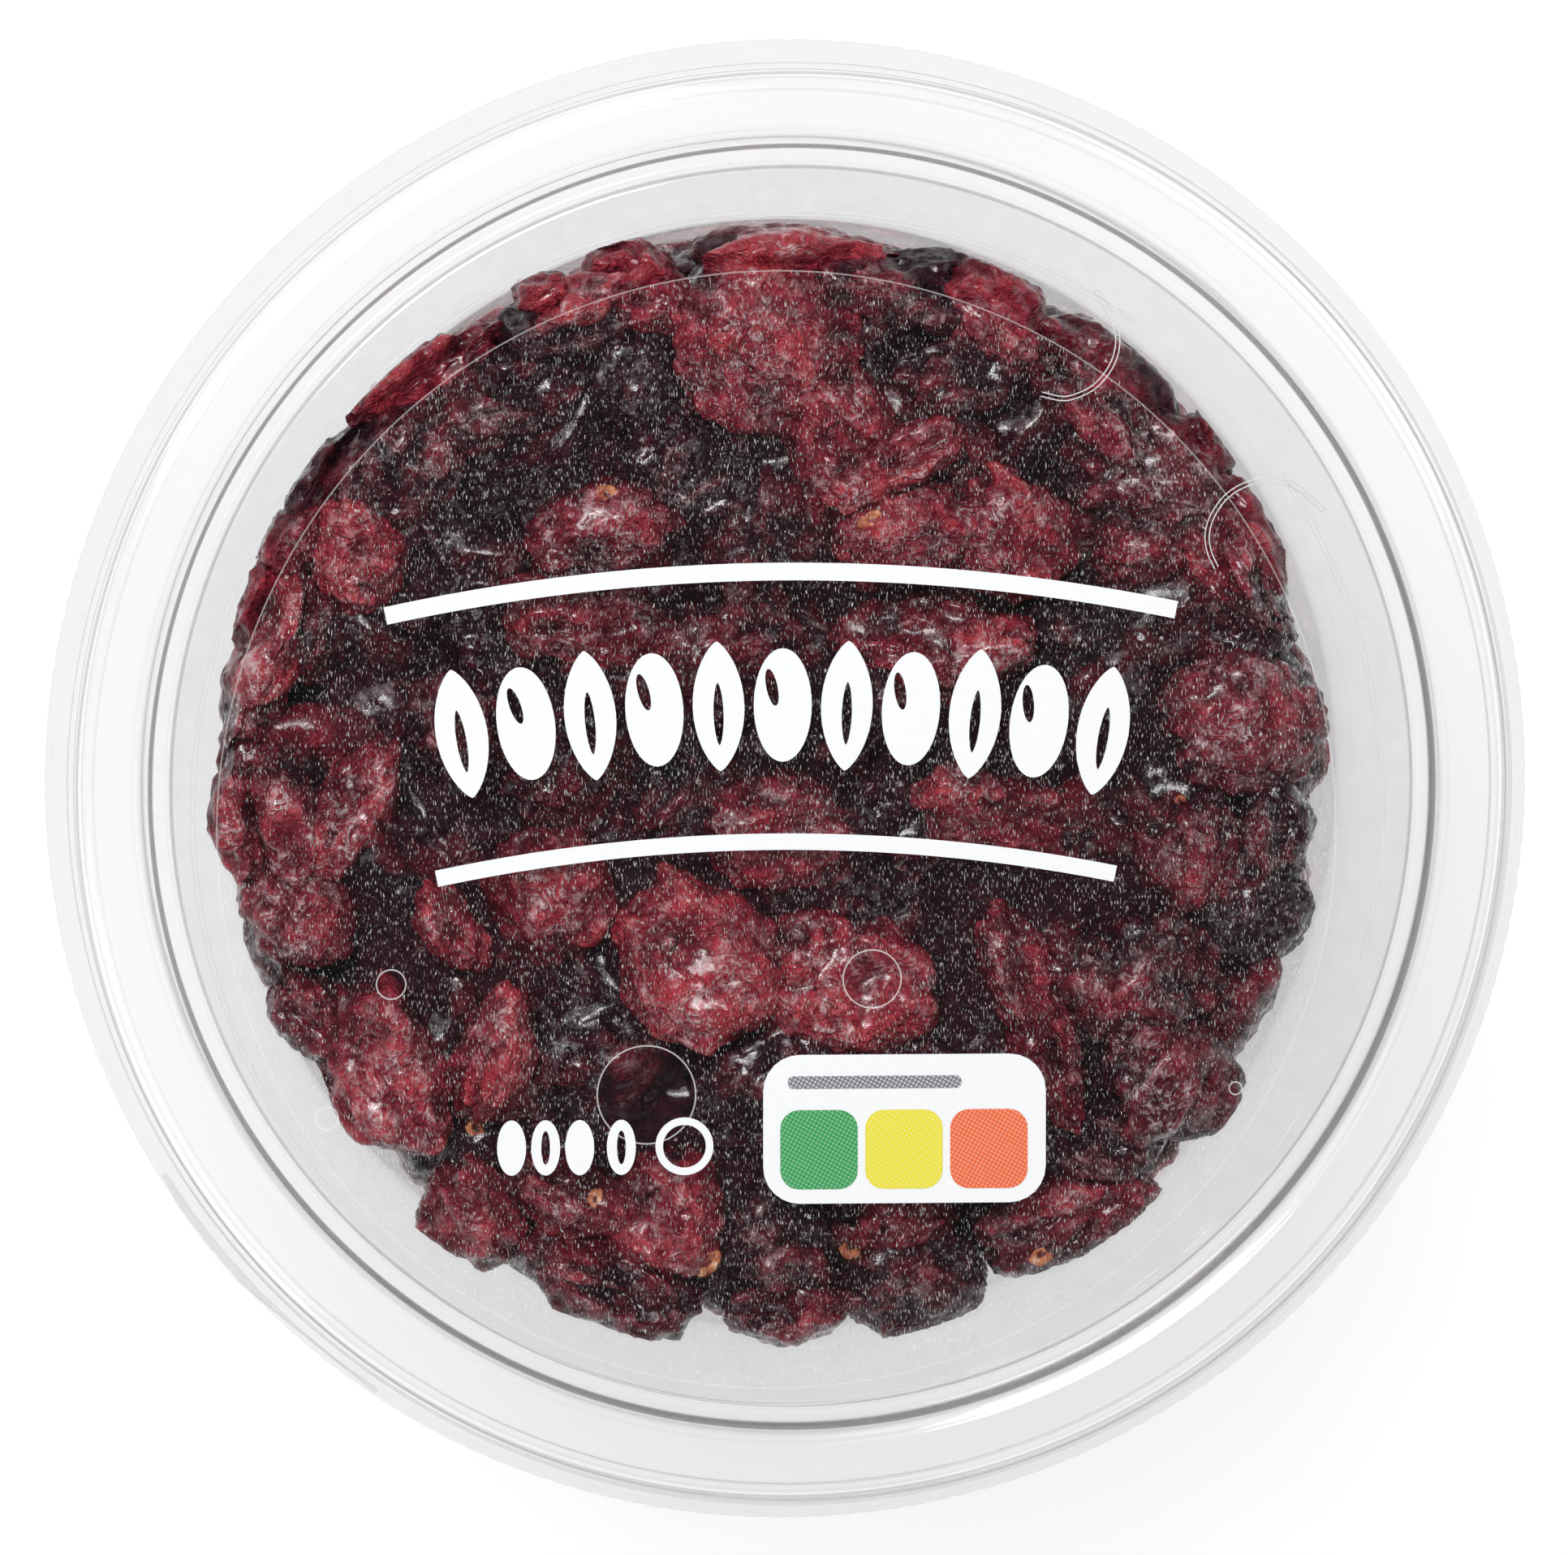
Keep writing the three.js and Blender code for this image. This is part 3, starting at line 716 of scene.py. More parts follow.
def make_lid():
    half = LID_WALL / 2
    rim = TOTAL_HEIGHT - half
    centre_line = [
        (0, PANEL_TOP - half),
        (PANEL_R, PANEL_TOP - half),
        *CHANNEL,
        (RIM_INNER_EDGE[0], rim - RIM_INNER_EDGE[1]),
        (RIM_FLAT_R[0], rim),
        (RIM_FLAT_R[1], rim),
        (RIM_OUTER_EDGE[0], rim - RIM_OUTER_EDGE[1]),
        *SKIRT,
    ]
    steps = RIB_COUNT * STEPS_PER_RIB
    lid = turned("lid_shell", sheet_outline(fillet(centre_line, *LID_BEND), LID_WALL), steps)
    press_ribs(lid, steps)
    return lid


def press_ribs(lid, steps):
    """Presses every rib's trough in the skirt a little inwards."""
    def in_trough(place):
        if place.xy.length < RIM_OUTER_EDGE[0] - 1 or not RIB_Z[0] < place.z < RIB_Z[1]:
            return False
        column = round(math.atan2(place.y, place.x) / (2 * math.pi) * steps)
        return column % STEPS_PER_RIB == 0

    pick_vertices(lid, in_trough)
    share = 1 - RIB_DEPTH / SKIRT[-1][0]
    bpy.ops.transform.resize(value=(share, share, 1), center_override=(0, 0, 0))
    bpy.ops.object.mode_set(mode="OBJECT")


def make_thumb_tab():
    """Flat plate at the foot of the skirt with one proud corner and a straight edge."""
    corner_turn, corner_r = TAB_CORNER
    edge = [spot(TAB_TURN[0], TAB_START_R, TAB_Z[0]),
            spot(corner_turn - TAB_CORNER_ROUND[0], corner_r - TAB_CORNER_ROUND[1], TAB_Z[0]),
            spot(corner_turn, corner_r, TAB_Z[0]),
            spot(TAB_TURN[1], TAB_START_R, TAB_Z[0])]
    back_steps = 6
    span = TAB_TURN[1] - TAB_TURN[0]
    back = [spot(TAB_TURN[1] - span * i / back_steps, TAB_INNER_R, TAB_Z[0]) for i in range(back_steps + 1)]
    draw_line(edge + back)
    bpy.ops.mesh.select_all(action="SELECT")
    bpy.ops.mesh.edge_face_add()
    rise = (0, 0, (TAB_Z[1] - TAB_Z[0]) * MM)
    bpy.ops.mesh.extrude_region_move(TRANSFORM_OT_translate={"value": rise})
    bpy.ops.mesh.select_all(action="SELECT")
    bpy.ops.mesh.normals_make_consistent(inside=False)
    bpy.ops.mesh.bevel(offset=0.12 * MM, segments=2, affect="EDGES")
    return finish_piece("thumb_tab", 40)


# Score line of the panel, with its hooked ends
SCORE_CENTRE = (-0.3, -1.75)
SCORE_R = 47.2
SCORE_TURN = (54.0, 394.0)
SCORE_STEPS = 170
SCORE_HALF_GAP = 0.17
SCORE_BEAD_R = 0.05
SCORE_Z = PANEL_TOP + 0.03
START_HOOK = ((19.7, 31.1), (21.2, 30.7), (22.2, 30.8), (24.0, 31.6), (25.4, 33.4), (25.85, 35.3),
              (25.4, 37.0), (24.0, 39.3))
END_HOOK = ((42.2, 21.7), (40.4, 23.5), (38.7, 24.2), (36.6, 24.2), (34.5, 23.2), (33.2, 21.4),
            (32.8, 19.9), (33.0, 18.5), (33.6, 17.3))


def smooth_line(points, rounds=2):
    """Cuts the corners of a line of points so that it runs in a smooth curve."""
    line = [Vector(place) for place in points]
    for _ in range(rounds):
        cut = [line[0]]
        for start, end in zip(line, line[1:]):
            cut += [start.lerp(end, 0.25), start.lerp(end, 0.75)]
        line = cut + [line[-1]]
    return line


def score_path(offset):
    """The score's centre line, set to one side by an offset."""
    path = smooth_line(START_HOOK)
    for i in range(SCORE_STEPS + 1):
        turn = SCORE_TURN[0] + (SCORE_TURN[1] - SCORE_TURN[0]) * i / SCORE_STEPS
        x, y, _ = spot(turn, SCORE_R)
        path.append(Vector((x + SCORE_CENTRE[0], y + SCORE_CENTRE[1])))
    path += smooth_line(END_HOOK)
    moved = []
    for i, place in enumerate(path):
        along = (path[min(i + 1, len(path) - 1)] - path[max(i - 1, 0)]).normalized()
        moved.append(place + Vector((-along.y, along.x)) * offset)
    return [(place.x, place.y, SCORE_Z) for place in moved]


def make_score_line():
    """Two fine round beads side by side."""
    beads = []
    for offset in (-SCORE_HALF_GAP, SCORE_HALF_GAP):
        draw_line(score_path(offset))
        bpy.ops.object.mode_set(mode="OBJECT")
        bpy.ops.object.convert(target="CURVE")
        bead = bpy.context.object
        bead.data.bevel_depth = SCORE_BEAD_R * MM
        bead.data.bevel_resolution = 1
        bead.data.use_fill_caps = True
        bpy.ops.object.convert(target="MESH")
        beads.append(bpy.context.object)
    select_only(*beads)
    bpy.ops.object.join()
    return finish_piece("score_line", 60)


# Label and its print

def make_label():
    start_fresh()
    place = [v * MM for v in (*LABEL_CENTRE, LABEL_Z[0])]
    bpy.ops.mesh.primitive_circle_add(
        vertices=256, radius=LABEL_R * MM, fill_type="NGON", location=place, enter_editmode=True)
    rise = (0, 0, (LABEL_Z[1] - LABEL_Z[0]) * MM)
    bpy.ops.mesh.extrude_region_move(TRANSFORM_OT_translate={"value": rise})
    bpy.ops.mesh.select_all(action="SELECT")
    bpy.ops.mesh.normals_make_consistent(inside=False)
    return finish_piece("label_disc", 30)


def make_arc_band(name, apex, radius, ends, thickness):
    """Printed band that follows an arc. Ends are the x of its two ends."""
    centre = Vector((apex[0], apex[1] - radius))
    first = math.asin((ends[0] - centre.x) / radius)
    sweep = math.asin((ends[1] - centre.x) / radius) - first
    out = Vector((math.sin(first), math.cos(first)))
    inner = centre + out * (radius - thickness / 2)
    outer = centre + out * (radius + thickness / 2)
    draw_line([(*inner, PRINT_Z), (*outer, PRINT_Z)])
    bpy.ops.mesh.select_all(action="SELECT")
    middle = (centre.x * MM, centre.y * MM, 0)
    bpy.ops.mesh.spin(steps=48, angle=sweep, center=middle, axis=(0, 0, 1))
    return thicken_print(name)


def thicken_print(name):
    """Gives a flat printed shape, in edit mode, the thickness of its ink."""
    bpy.ops.mesh.select_all(action="SELECT")
    bpy.ops.mesh.remove_doubles(threshold=0.002 * MM)
    bpy.ops.mesh.normals_make_consistent(inside=False)
    bpy.ops.mesh.extrude_region_move(TRANSFORM_OT_translate={"value": (0, 0, PRINT_THICK * MM)})
    bpy.ops.mesh.select_all(action="SELECT")
    bpy.ops.mesh.normals_make_consistent(inside=False)
    return finish_piece(name, 30)


def make_loops(name, loops):
    """Flat ink shape bounded by closed loops: the inner ones are holes. Loops are lists of points."""
    start_fresh()
    for i, loop in enumerate(loops):
        draw_line([(x, y, PRINT_Z) for x, y in loop])
        bpy.ops.mesh.select_all(action="SELECT")
        bpy.ops.mesh.edge_face_add()
        if len(loops) > 1:
            bpy.ops.mesh.delete(type="ONLY_FACE")
        bpy.ops.object.mode_set(mode="OBJECT")
        loops[i] = bpy.context.object
    select_only(*loops)
    if len(loops) > 1:
        bpy.ops.object.join()
        bpy.ops.object.mode_set(mode="EDIT")
        bpy.ops.mesh.select_all(action="SELECT")
        bpy.ops.mesh.fill()
    else:
        bpy.ops.object.mode_set(mode="EDIT")
    return thicken_print(name)


def oval_loop(centre, half, turn=0.0, tip=1.0, steps=40, grow=0.0):
    """Points of an oval. A tip above 1 draws its upper and lower ends to points."""
    points = []
    for i in range(steps):
        angle = 2 * math.pi * i / steps
        across = math.copysign(abs(math.cos(angle)) ** tip, math.cos(angle))
        place = Vector((across * (half[0] + grow), math.sin(angle) * (half[1] + grow)))
        place.rotate(Matrix.Rotation(math.radians(turn), 2))
        points.append((centre[0] + place.x, centre[1] + place.y))
    return points


def box_loop(low, high, round_r, steps=6):
    """Points of a rectangle with round corners."""
    points = []
    corners = ((high[0], high[1], 0), (low[0], high[1], 90), (low[0], low[1], 180), (high[0], low[1], 270))
    for x, y, start in corners:
        middle = (x - math.copysign(round_r, x - (low[0] + high[0]) / 2),
                  y - math.copysign(round_r, y - (low[1] + high[1]) / 2))
        for i in range(steps + 1):
            dx, dy, _ = spot(start + 90 * i / steps, round_r)
            points.append((middle[0] + dx, middle[1] + dy))
    return points


# Row of plain berries and leaves on a shallow arc, in the middle of the label
MOTIF_ARC_R = 150.0
MOTIF_APEX = (-0.9, 6.6)
MOTIF_SPAN = (-26.2, 24.6)
MOTIF_COUNT = 11
BERRY_HALF = (2.3, 4.5)
LEAF_HALF = (2.05, 5.15)
MOTIF_SLIT = (0.4, 2.5)


def make_motif_row():
    """Upright leaves and round berries in turn, each with an opening."""
    marks = []
    for i in range(MOTIF_COUNT):
        x = MOTIF_SPAN[0] + (MOTIF_SPAN[1] - MOTIF_SPAN[0]) * i / (MOTIF_COUNT - 1)
        lean = math.asin((x - MOTIF_APEX[0]) / MOTIF_ARC_R)
        y = MOTIF_APEX[1] - MOTIF_ARC_R * (1 - math.cos(lean))
        turn = -math.degrees(lean)
        if i % 2:
            outer = oval_loop((x, y), BERRY_HALF, turn)
            inner = oval_loop((x - 0.85, y + 1.4), (0.45, 1.5), turn + 12, steps=20)
        else:
            outer = oval_loop((x, y), LEAF_HALF, turn, tip=1.5)
            inner = oval_loop((x, y - 0.6), MOTIF_SLIT, turn, tip=1.3, steps=20)
        marks.append(make_loops(f"motif_{i + 1}", [outer, inner]))
    select_only(*marks)
    bpy.ops.object.join()
    return finish_piece("print_motifs", 30)


# Small marks and tile panel at the foot of the label
SMALL_MARKS_X = (-22.3, -19.6, -16.9, -13.6)
SMALL_MARKS_Y = -28.45
RING_CENTRE = (-8.6, -28.4)
PANEL_BOX = ((-2.35, -33.05), (20.1, -21.2))
PANEL_ROUND = 2.9
BAR_BOX = ((-0.4, -23.9), (13.4, -22.9))
TILE_X = (-1.0, 5.75, 12.5)
TILE_SIZE = (6.15, 6.3)
TILE_Y = -31.9
TILE_ROUND = 1.5
TILE_COLOURS = {
    "green": (0.013, 0.305, 0.07),
    "yellow": (0.80, 0.70, 0.012),
    "orange": (0.80, 0.12, 0.02),
}


def make_small_marks():
    marks = []
    for i, x in enumerate(SMALL_MARKS_X):
        outer = oval_loop((x, SMALL_MARKS_Y), (1.15, 2.2), steps=32)
        loops = [outer, oval_loop((x, SMALL_MARKS_Y), (0.35, 1.35), steps=20)] if i % 2 else [outer]
        marks.append(make_loops(f"small_mark_{i + 1}", loops))
    ring = [oval_loop(RING_CENTRE, (2.3, 2.3)), oval_loop(RING_CENTRE, (1.7, 1.7))]
    marks.append(make_loops("small_ring", ring))
    select_only(*marks)
    bpy.ops.object.join()
    return finish_piece("print_small_marks", 30)


def lift_print(piece, layers):
    """Raises a printed piece by some layers of ink."""
    select_only(piece)
    bpy.ops.transform.translate(value=(0, 0, layers * PRINT_THICK * MM))
    bpy.ops.object.transform_apply(location=True, rotation=False, scale=False)


def make_print(materials):
    """All printed pieces, dressed."""
    pieces = [
        make_arc_band("print_upper_band", (-0.48, 17.17), 151, (-32.2, 30.4), 1.4),
        make_arc_band("print_lower_band", (-1.1, -4.24), 133, (-28.2, 25.6), 1.3),
        make_motif_row(),
        make_small_marks(),
        make_loops("print_panel", [box_loop(*PANEL_BOX, PANEL_ROUND)]),
    ]
    for piece in pieces:
        dress(piece, materials["white"], "label_film")
    bar = make_loops("print_bar", [box_loop(*BAR_BOX, 0.45, 4)])
    lift_print(bar, 1.2)
    dress(bar, materials["grey"], "label_film")
    for x, name in zip(TILE_X, TILE_COLOURS):
        low = (x, TILE_Y)
        high = (x + TILE_SIZE[0], TILE_Y + TILE_SIZE[1])
        tile = make_loops(f"print_tile_{name}", [box_loop(low, high, TILE_ROUND)])
        lift_print(tile, 1.2)
        dress(tile, materials[name], "label_film")


# Dried cranberries

# Berries of the top layer: middle x and y, length, width, turn in degrees, sink and tint
TOP_BERRIES = (
    (-11.8, 40.0, 9.4, 7.8, -20, 1.0, 0.8),
    (-19.2, 38.9, 4.8, 3.4, 20, 1.6, 0.85),
    (-17.5, 36.3, 12.6, 5.6, 15, 0.9, 0.15),
    (-28.6, 32.4, 14.2, 4.6, 35, 1.2, 0.85),
    (-22.5, 30.4, 16.5, 7.2, 20, 1.0, 0.35),
    (-12.0, 31.6, 9.6, 7.6, 100, 0.8, 0.15),
    (-31.0, 24.6, 12.6, 9.2, 50, 0.6, 0.3),
    (-37.2, 25.2, 10.2, 5.0, 55, 1.4, 0.3),
    (-34.4, 18.4, 8.8, 7.8, 110, 0.3, 0.9),
    (-39.8, 19.8, 6.6, 4.8, 60, 1.0, 0.6),
    (-41.4, 14.2, 8.6, 4.4, 75, 1.3, 0.85),
    (-37.8, 12.4, 9.6, 7.2, 80, 1.0, 0.35),
    (-42.2, 6.6, 9.0, 4.8, 85, 1.0, 0.65),
    (-42.4, -1.4, 12.6, 6.4, 92, 0.4, 0.7),
    (-34.8, -1.8, 12.2, 6.6, 60, 0.3, 0.75),
    (-38.8, -10.0, 10.4, 7.8, -40, 0.5, 0.6),
    (-27.0, -11.2, 8.8, 4.2, -60, 0.4, 0.85),
    (-26.4, 4.6, 9.8, 9.6, 20, 0.9, 0.45),
    (-20.6, 22.6, 13.0, 10.4, 30, 2.2, 0.05),
    (-14.4, 20.0, 12.6, 8.2, 20, 0.4, 0.6),
    (-15.2, 12.4, 15.2, 8.4, -5, 0.5, 0.6),
    (-1.2, 34.2, 16.0, 13.0, -15, 0.0, 0.8),
    (4.0, 27.2, 10.8, 9.0, -60, 0.2, 0.75),
    (1.2, 41.6, 15.6, 4.6, 2, 0.8, 1.0),
    (12.4, 41.0, 9.6, 7.6, 10, 1.0, 0.2),
    (17.4, 38.8, 10.4, 7.4, -35, 0.7, 0.7),
    (23.8, 35.0, 9.4, 8.0, 0, 0.5, 0.5),
    (29.0, 32.0, 10.8, 7.8, -60, 1.0, 0.25),
    (14.8, 32.6, 12.2, 7.8, 20, 1.1, 0.35),
    (8.8, 25.4, 14.0, 5.2, 30, 0.1, 0.8),
    (32.8, 26.0, 7.2, 5.6, -60, 1.2, 0.35),
    (28.0, 24.6, 14.2, 10.4, -15, 0.5, 0.35),
    (35.2, 18.4, 11.2, 8.8, -45, 0.7, 0.7),
    (28.4, 18.6, 10.2, 7.4, 10, 0.6, 0.6),
    (17.6, 19.4, 10.8, 9.8, -30, 0.0, 0.85),
    (9.8, 20.0, 12.4, 8.2, 25, 0.3, 0.75),
    (10.8, 11.2, 17.0, 9.4, 0, 0.5, 0.75),
    (23.4, 12.0, 10.4, 7.4, 10, 1.2, 0.15),
    (35.4, 12.6, 10.4, 7.2, -20, 0.9, 0.35),
    (36.4, 4.6, 12.8, 11.6, 20, 0.2, 0.5),
    (17.4, -2.8, 15.2, 7.0, -10, 0.3, 0.75),
    (32.4, -6.2, 11.4, 8.4, -70, 0.6, 0.55),
    (38.6, -3.8, 9.2, 6.8, 100, 1.4, 0.15),
    (37.0, -10.8, 9.8, 8.4, 30, 1.4, 0.05),
    (30.2, -15.4, 11.4, 9.6, 80, 0.5, 0.4),
    (24.2, -17.2, 11.2, 6.2, -75, 0.4, 0.45),
    (18.2, -15.0, 11.2, 5.4, -65, 0.4, 0.8),
    (21.0, -22.6, 12.2, 5.8, -70, 0.5, 0.75),
    (5.2, -16.4, 13.2, 12.6, 0, 0.0, 0.85),
    (31.4, -24.0, 12.8, 9.4, -30, 0.7, 0.4),
    (23.6, -29.2, 12.4, 6.4, -5, 1.0, 0.3),
    (22.8, -35.6, 14.6, 6.6, 15, 0.6, 0.6),
    (9.4, -35.4, 9.4, 5.4, 20, 0.9, 0.7),
    (10.4, -40.0, 11.6, 8.8, 10, 1.0, 0.3),
    (-0.4, -42.0, 9.4, 6.2, 0, 1.2, 0.45),
    (-0.8, -35.8, 9.6, 8.4, 40, 1.2, 0.2),
    (-10.0, -34.2, 10.2, 9.2, -70, 0.2, 0.8),
    (-14.6, -40.6, 15.0, 7.4, -22, 0.9, 0.45),
    (-17.6, -32.6, 11.4, 6.6, -20, 0.6, 0.65),
    (-25.4, -35.2, 9.6, 7.8, -40, 0.8, 0.7),
    (-32.4, -22.6, 15.2, 9.4, -60, 0.3, 0.75),
    (-37.8, -18.6, 8.0, 5.4, -50, 1.1, 0.6),
    (-23.6, -21.4, 10.8, 6.8, 75, 0.1, 0.85),
    (-19.0, -8.8, 12.0, 9.4, -65, 0.2, 0.8),
    (-7.4, -14.4, 14.8, 12.2, -30, 0.0, 0.95),
    (-0.6, -3.8, 12.4, 9.2, 10, 0.5, 0.7),
)
STRIP_SHARE = 0.52
FILL_TINT = (0.08, 0.48)
SIDE_TINT = (0.1, 0.8)
TOP_TILT = 13.0
SINK_SHARE = 1.5
TOP_SIDES = 5
SIDE_KEEP = 0.38
BACKING_SIDES = 4

# Masters: squeeze of the sphere before its wrinkles, dent, bend and twist in degrees
MASTERS = {
    "plump_a": {"squeeze": (0.75, 0.95, 0.75), "dent": 0.05, "bend": 12, "twist": 0},
    "plump_b": {"squeeze": (0.68, 1.0, 0.7), "dent": -0.1, "bend": -14, "twist": 18},
    "folded_a": {"squeeze": (0.7, 1.0, 0.62), "dent": 0.25, "bend": 30, "twist": 10},
    "folded_b": {"squeeze": (0.8, 0.9, 0.6), "dent": 0.2, "bend": -26, "twist": -22},
    "strip_a": {"squeeze": (0.6, 0.8, 0.7), "dent": 0.35, "bend": 45, "twist": 40},
    "strip_b": {"squeeze": (0.6, 0.85, 0.62), "dent": 0.3, "bend": -40, "twist": -35},
}


def cloud_texture(name, size, hard, depth=2):
    made = bpy.data.textures.new(name, type="CLOUDS")
    made.noise_scale = size
    made.noise_depth = depth
    made.noise_type = "HARD_NOISE" if hard else "SOFT_NOISE"
    return made


def displace(piece, texture, strength, middle=0.5):
    made = piece.modifiers.new(texture.name, "DISPLACE")
    made.texture = texture
    made.texture_coords = "LOCAL"
    made.strength = strength
    made.mid_level = middle
    return made


def make_master(name, seed, squeeze, dent, bend, twist, sides=TOP_SIDES):
    """One wrinkled berry about 2 across, modelled short so that its folds run lengthwise when drawn out."""
    start_fresh()
    bpy.ops.mesh.primitive_ico_sphere_add(
        subdivisions=sides, radius=1, location=(seed * 4.7, seed * 1.3, 0), enter_editmode=True)
    bpy.ops.transform.resize(value=squeeze)
    berry = finish_piece(name)
    square = berry.modifiers.new("square", "CAST")
    square.cast_type = "CUBOID"
    square.factor = 0.22
    displace(berry, cloud_texture(f"{name}_lumps", 1.0, False), 0.36, 0.45)
    displace(berry, cloud_texture(f"{name}_folds", 0.6, True, 1), 0.13, 0.3)
    displace(berry, cloud_texture(f"{name}_creases", 0.24, True, 1), 0.045, 0.3)
    apply_modifiers(berry)
    bpy.ops.object.origin_set(type="ORIGIN_GEOMETRY", center="BOUNDS")
    berry.location = (0, 0, 0)
    press_dent(berry, squeeze, dent)
    for method, axis, angle in (("BEND", "X", bend), ("TWIST", "X", twist)):
        turn = berry.modifiers.new(method.lower(), "SIMPLE_DEFORM")
        turn.deform_method = method
        turn.deform_axis = axis
        turn.angle = math.radians(angle)
    soften = berry.modifiers.new("soften", "SMOOTH")
    soften.factor = 0.5
    soften.iterations = 1
    apply_modifiers(berry)
    fit_unit(berry)
    return berry


def press_dent(berry, squeeze, depth):
    """Pushes the middle of the upper side down, as the hollow of a halved berry."""
    pick_vertices(berry, lambda place: False)
    bpy.ops.object.mode_set(mode="OBJECT")
    top = max(berry.data.vertices, key=lambda v: v.co.z - 2 * v.co.xy.length)
    top.select = True
    bpy.ops.object.mode_set(mode="EDIT")
    bpy.ops.transform.translate(
        value=(0, 0, -depth), use_proportional_edit=True, use_proportional_connected=True,
        proportional_edit_falloff="SMOOTH", proportional_size=max(squeeze) * 0.75)
    bpy.ops.object.mode_set(mode="OBJECT")


def fit_unit(berry):
    """Centres a berry and gives its box sides of 1."""
    places = vertex_array(berry)
    low = places.min(0)
    size = places.max(0) - low
    middle = low + size / 2
    berry.data.transform(Matrix.Translation(-Vector(middle)))
    berry.data.transform(Matrix.Diagonal((*(1 / size), 1)))


def vertex_array(piece):
    places = np.zeros(len(piece.data.vertices) * 3)
    piece.data.vertices.foreach_get("co", places)
    return places.reshape(-1, 3)


def wall_radius(z):
    """Inner radius of the tub at a height."""
    heights, radii = zip(*((z, r) for r, z in (BODY_FOOT, BODY_TOP, SHOULDER)))
    return float(np.interp(z, heights, radii)) - TUB_WALL / 2


def heap_radius(z, angle):
    """How far out the heap reaches: to the wall at the lower left, short of it at the right."""
    slack = 0.5 + 0.5 * math.cos(angle - math.radians(SLACK_SIDE_TURN))
    return min(wall_radius(z) - WALL_GAP, HEAP_REACH[1] + (HEAP_REACH[0] - HEAP_REACH[1]) * slack)


def lay_berry(master, size, turn, place, tint, facing=None):
    """Copies a master to its size and place. Facing is the direction that its upper side looks to."""
    berry = master.copy()
    berry.data = master.data.copy()
    bpy.context.scene.collection.objects.link(berry)
    upright = Vector((0, 0, 1))
    look = upright.rotation_difference(Vector(facing or upright)).to_matrix().to_4x4()
    spin = Matrix.Rotation(turn, 4, "Z")
    shape = Matrix.Diagonal((*(v * MM for v in size), 1))
    berry.data.transform(Matrix.Translation(Vector(place) * MM) @ look @ spin @ shape)
    mark = berry.data.attributes.new("tint", "FLOAT", "POINT")
    mark.data.foreach_set("value", np.full(len(berry.data.vertices), tint, np.float32))
    return berry


def fill_berries(draw):
    """Berries between the listed ones of the top layer, on a golden-turn spiral."""
    rows = []
    for i in range(FILL_COUNT):
        r = (wall_radius(BODY_TOP[1]) - SPIRAL_INSET) * math.sqrt((i + 0.5) / FILL_COUNT)
        x, y = math.cos(i * GOLDEN_TURN) * r, math.sin(i * GOLDEN_TURN) * r
        near = min(math.hypot(x - row[0], y - row[1]) for row in TOP_BERRIES)
        length = draw(*BERRY_SIZE)
        width = length * draw(*BERRY_WIDTH_SHARE)
        turn = draw(0, 180)
        if near > FILL_CLEARANCE:
            rows.append((x, y, length, width, turn, FILL_SINK, None))
    return rows


def seated(x, y, length, width, turn):
    """Middle of a top berry, moved inwards where its end would pass the heap's outline."""
    angle = math.atan2(y, x)
    off = math.radians(turn) - angle
    reach = math.hypot(length * math.cos(off), width * math.sin(off)) / 2
    edge = TOP_REACH - TOP_SHIFT * math.cos(angle - math.radians(SLACK_SIDE_TURN))
    share = min(1.0, (edge - reach * SEAT_SHARE) / max(math.hypot(x, y), 1.0))
    return x * share, y * share


def lay_top_layer(masters, places, looks):
    """The top layer in three kinds: plump berries, folded halves and strips."""
    kinds = {"plump": [], "folded": [], "strip": []}
    for i, (x, y, length, width, turn, sink, tint) in enumerate((*TOP_BERRIES, *fill_berries(places))):
        if width < length * STRIP_SHARE:
            kind = "strip"
        else:
            kind = "plump" if i % 2 else "folded"
        master = masters[f"{kind}_{'ab'[len(kinds[kind]) % 2]}"]
        tilt = math.radians(TOP_TILT)
        facing = (looks(-tilt, tilt), looks(-tilt, tilt), 1)
        height = HEAP_TOP_Z - TOP_THICK * TOP_REST_SHARE - sink * SINK_SHARE
        place = (*seated(x, y, length, width, turn), height)
        shade = looks(*FILL_TINT) if tint is None else tint
        size = (length * 1.06, width * 1.08, TOP_THICK)
        kinds[kind].append(lay_berry(master, size, math.radians(turn), place, shade, facing))
    return kinds


def lay_wall_layer(masters, places, looks):
    """Berries against the wall, with their flat side to it."""
    berries = []
    names = list(masters)
    for i in range(SIDE_COUNT):
        length = places(*BERRY_SIZE)
        width = length * places(*BERRY_WIDTH_SHARE)
        share = (i + 0.5) / SIDE_COUNT
        low = HEAP_FLOOR_Z + SIDE_Z_MARGIN[0]
        z = low + (HEAP_TOP_Z - SIDE_Z_MARGIN[1] - low) * share
        angle = i * GOLDEN_TURN
        r = heap_radius(z, angle) - places(*SIDE_INSET)
        outward = (math.cos(angle), math.sin(angle), 0)
        roll = places(0, math.pi)
        place = (outward[0] * r, outward[1] * r, z)
        size = (length, width, SIDE_THICK)
        master = masters[names[i % len(names)]]
        berries.append(lay_berry(master, size, roll, place, looks(*SIDE_TINT), outward))
    return berries


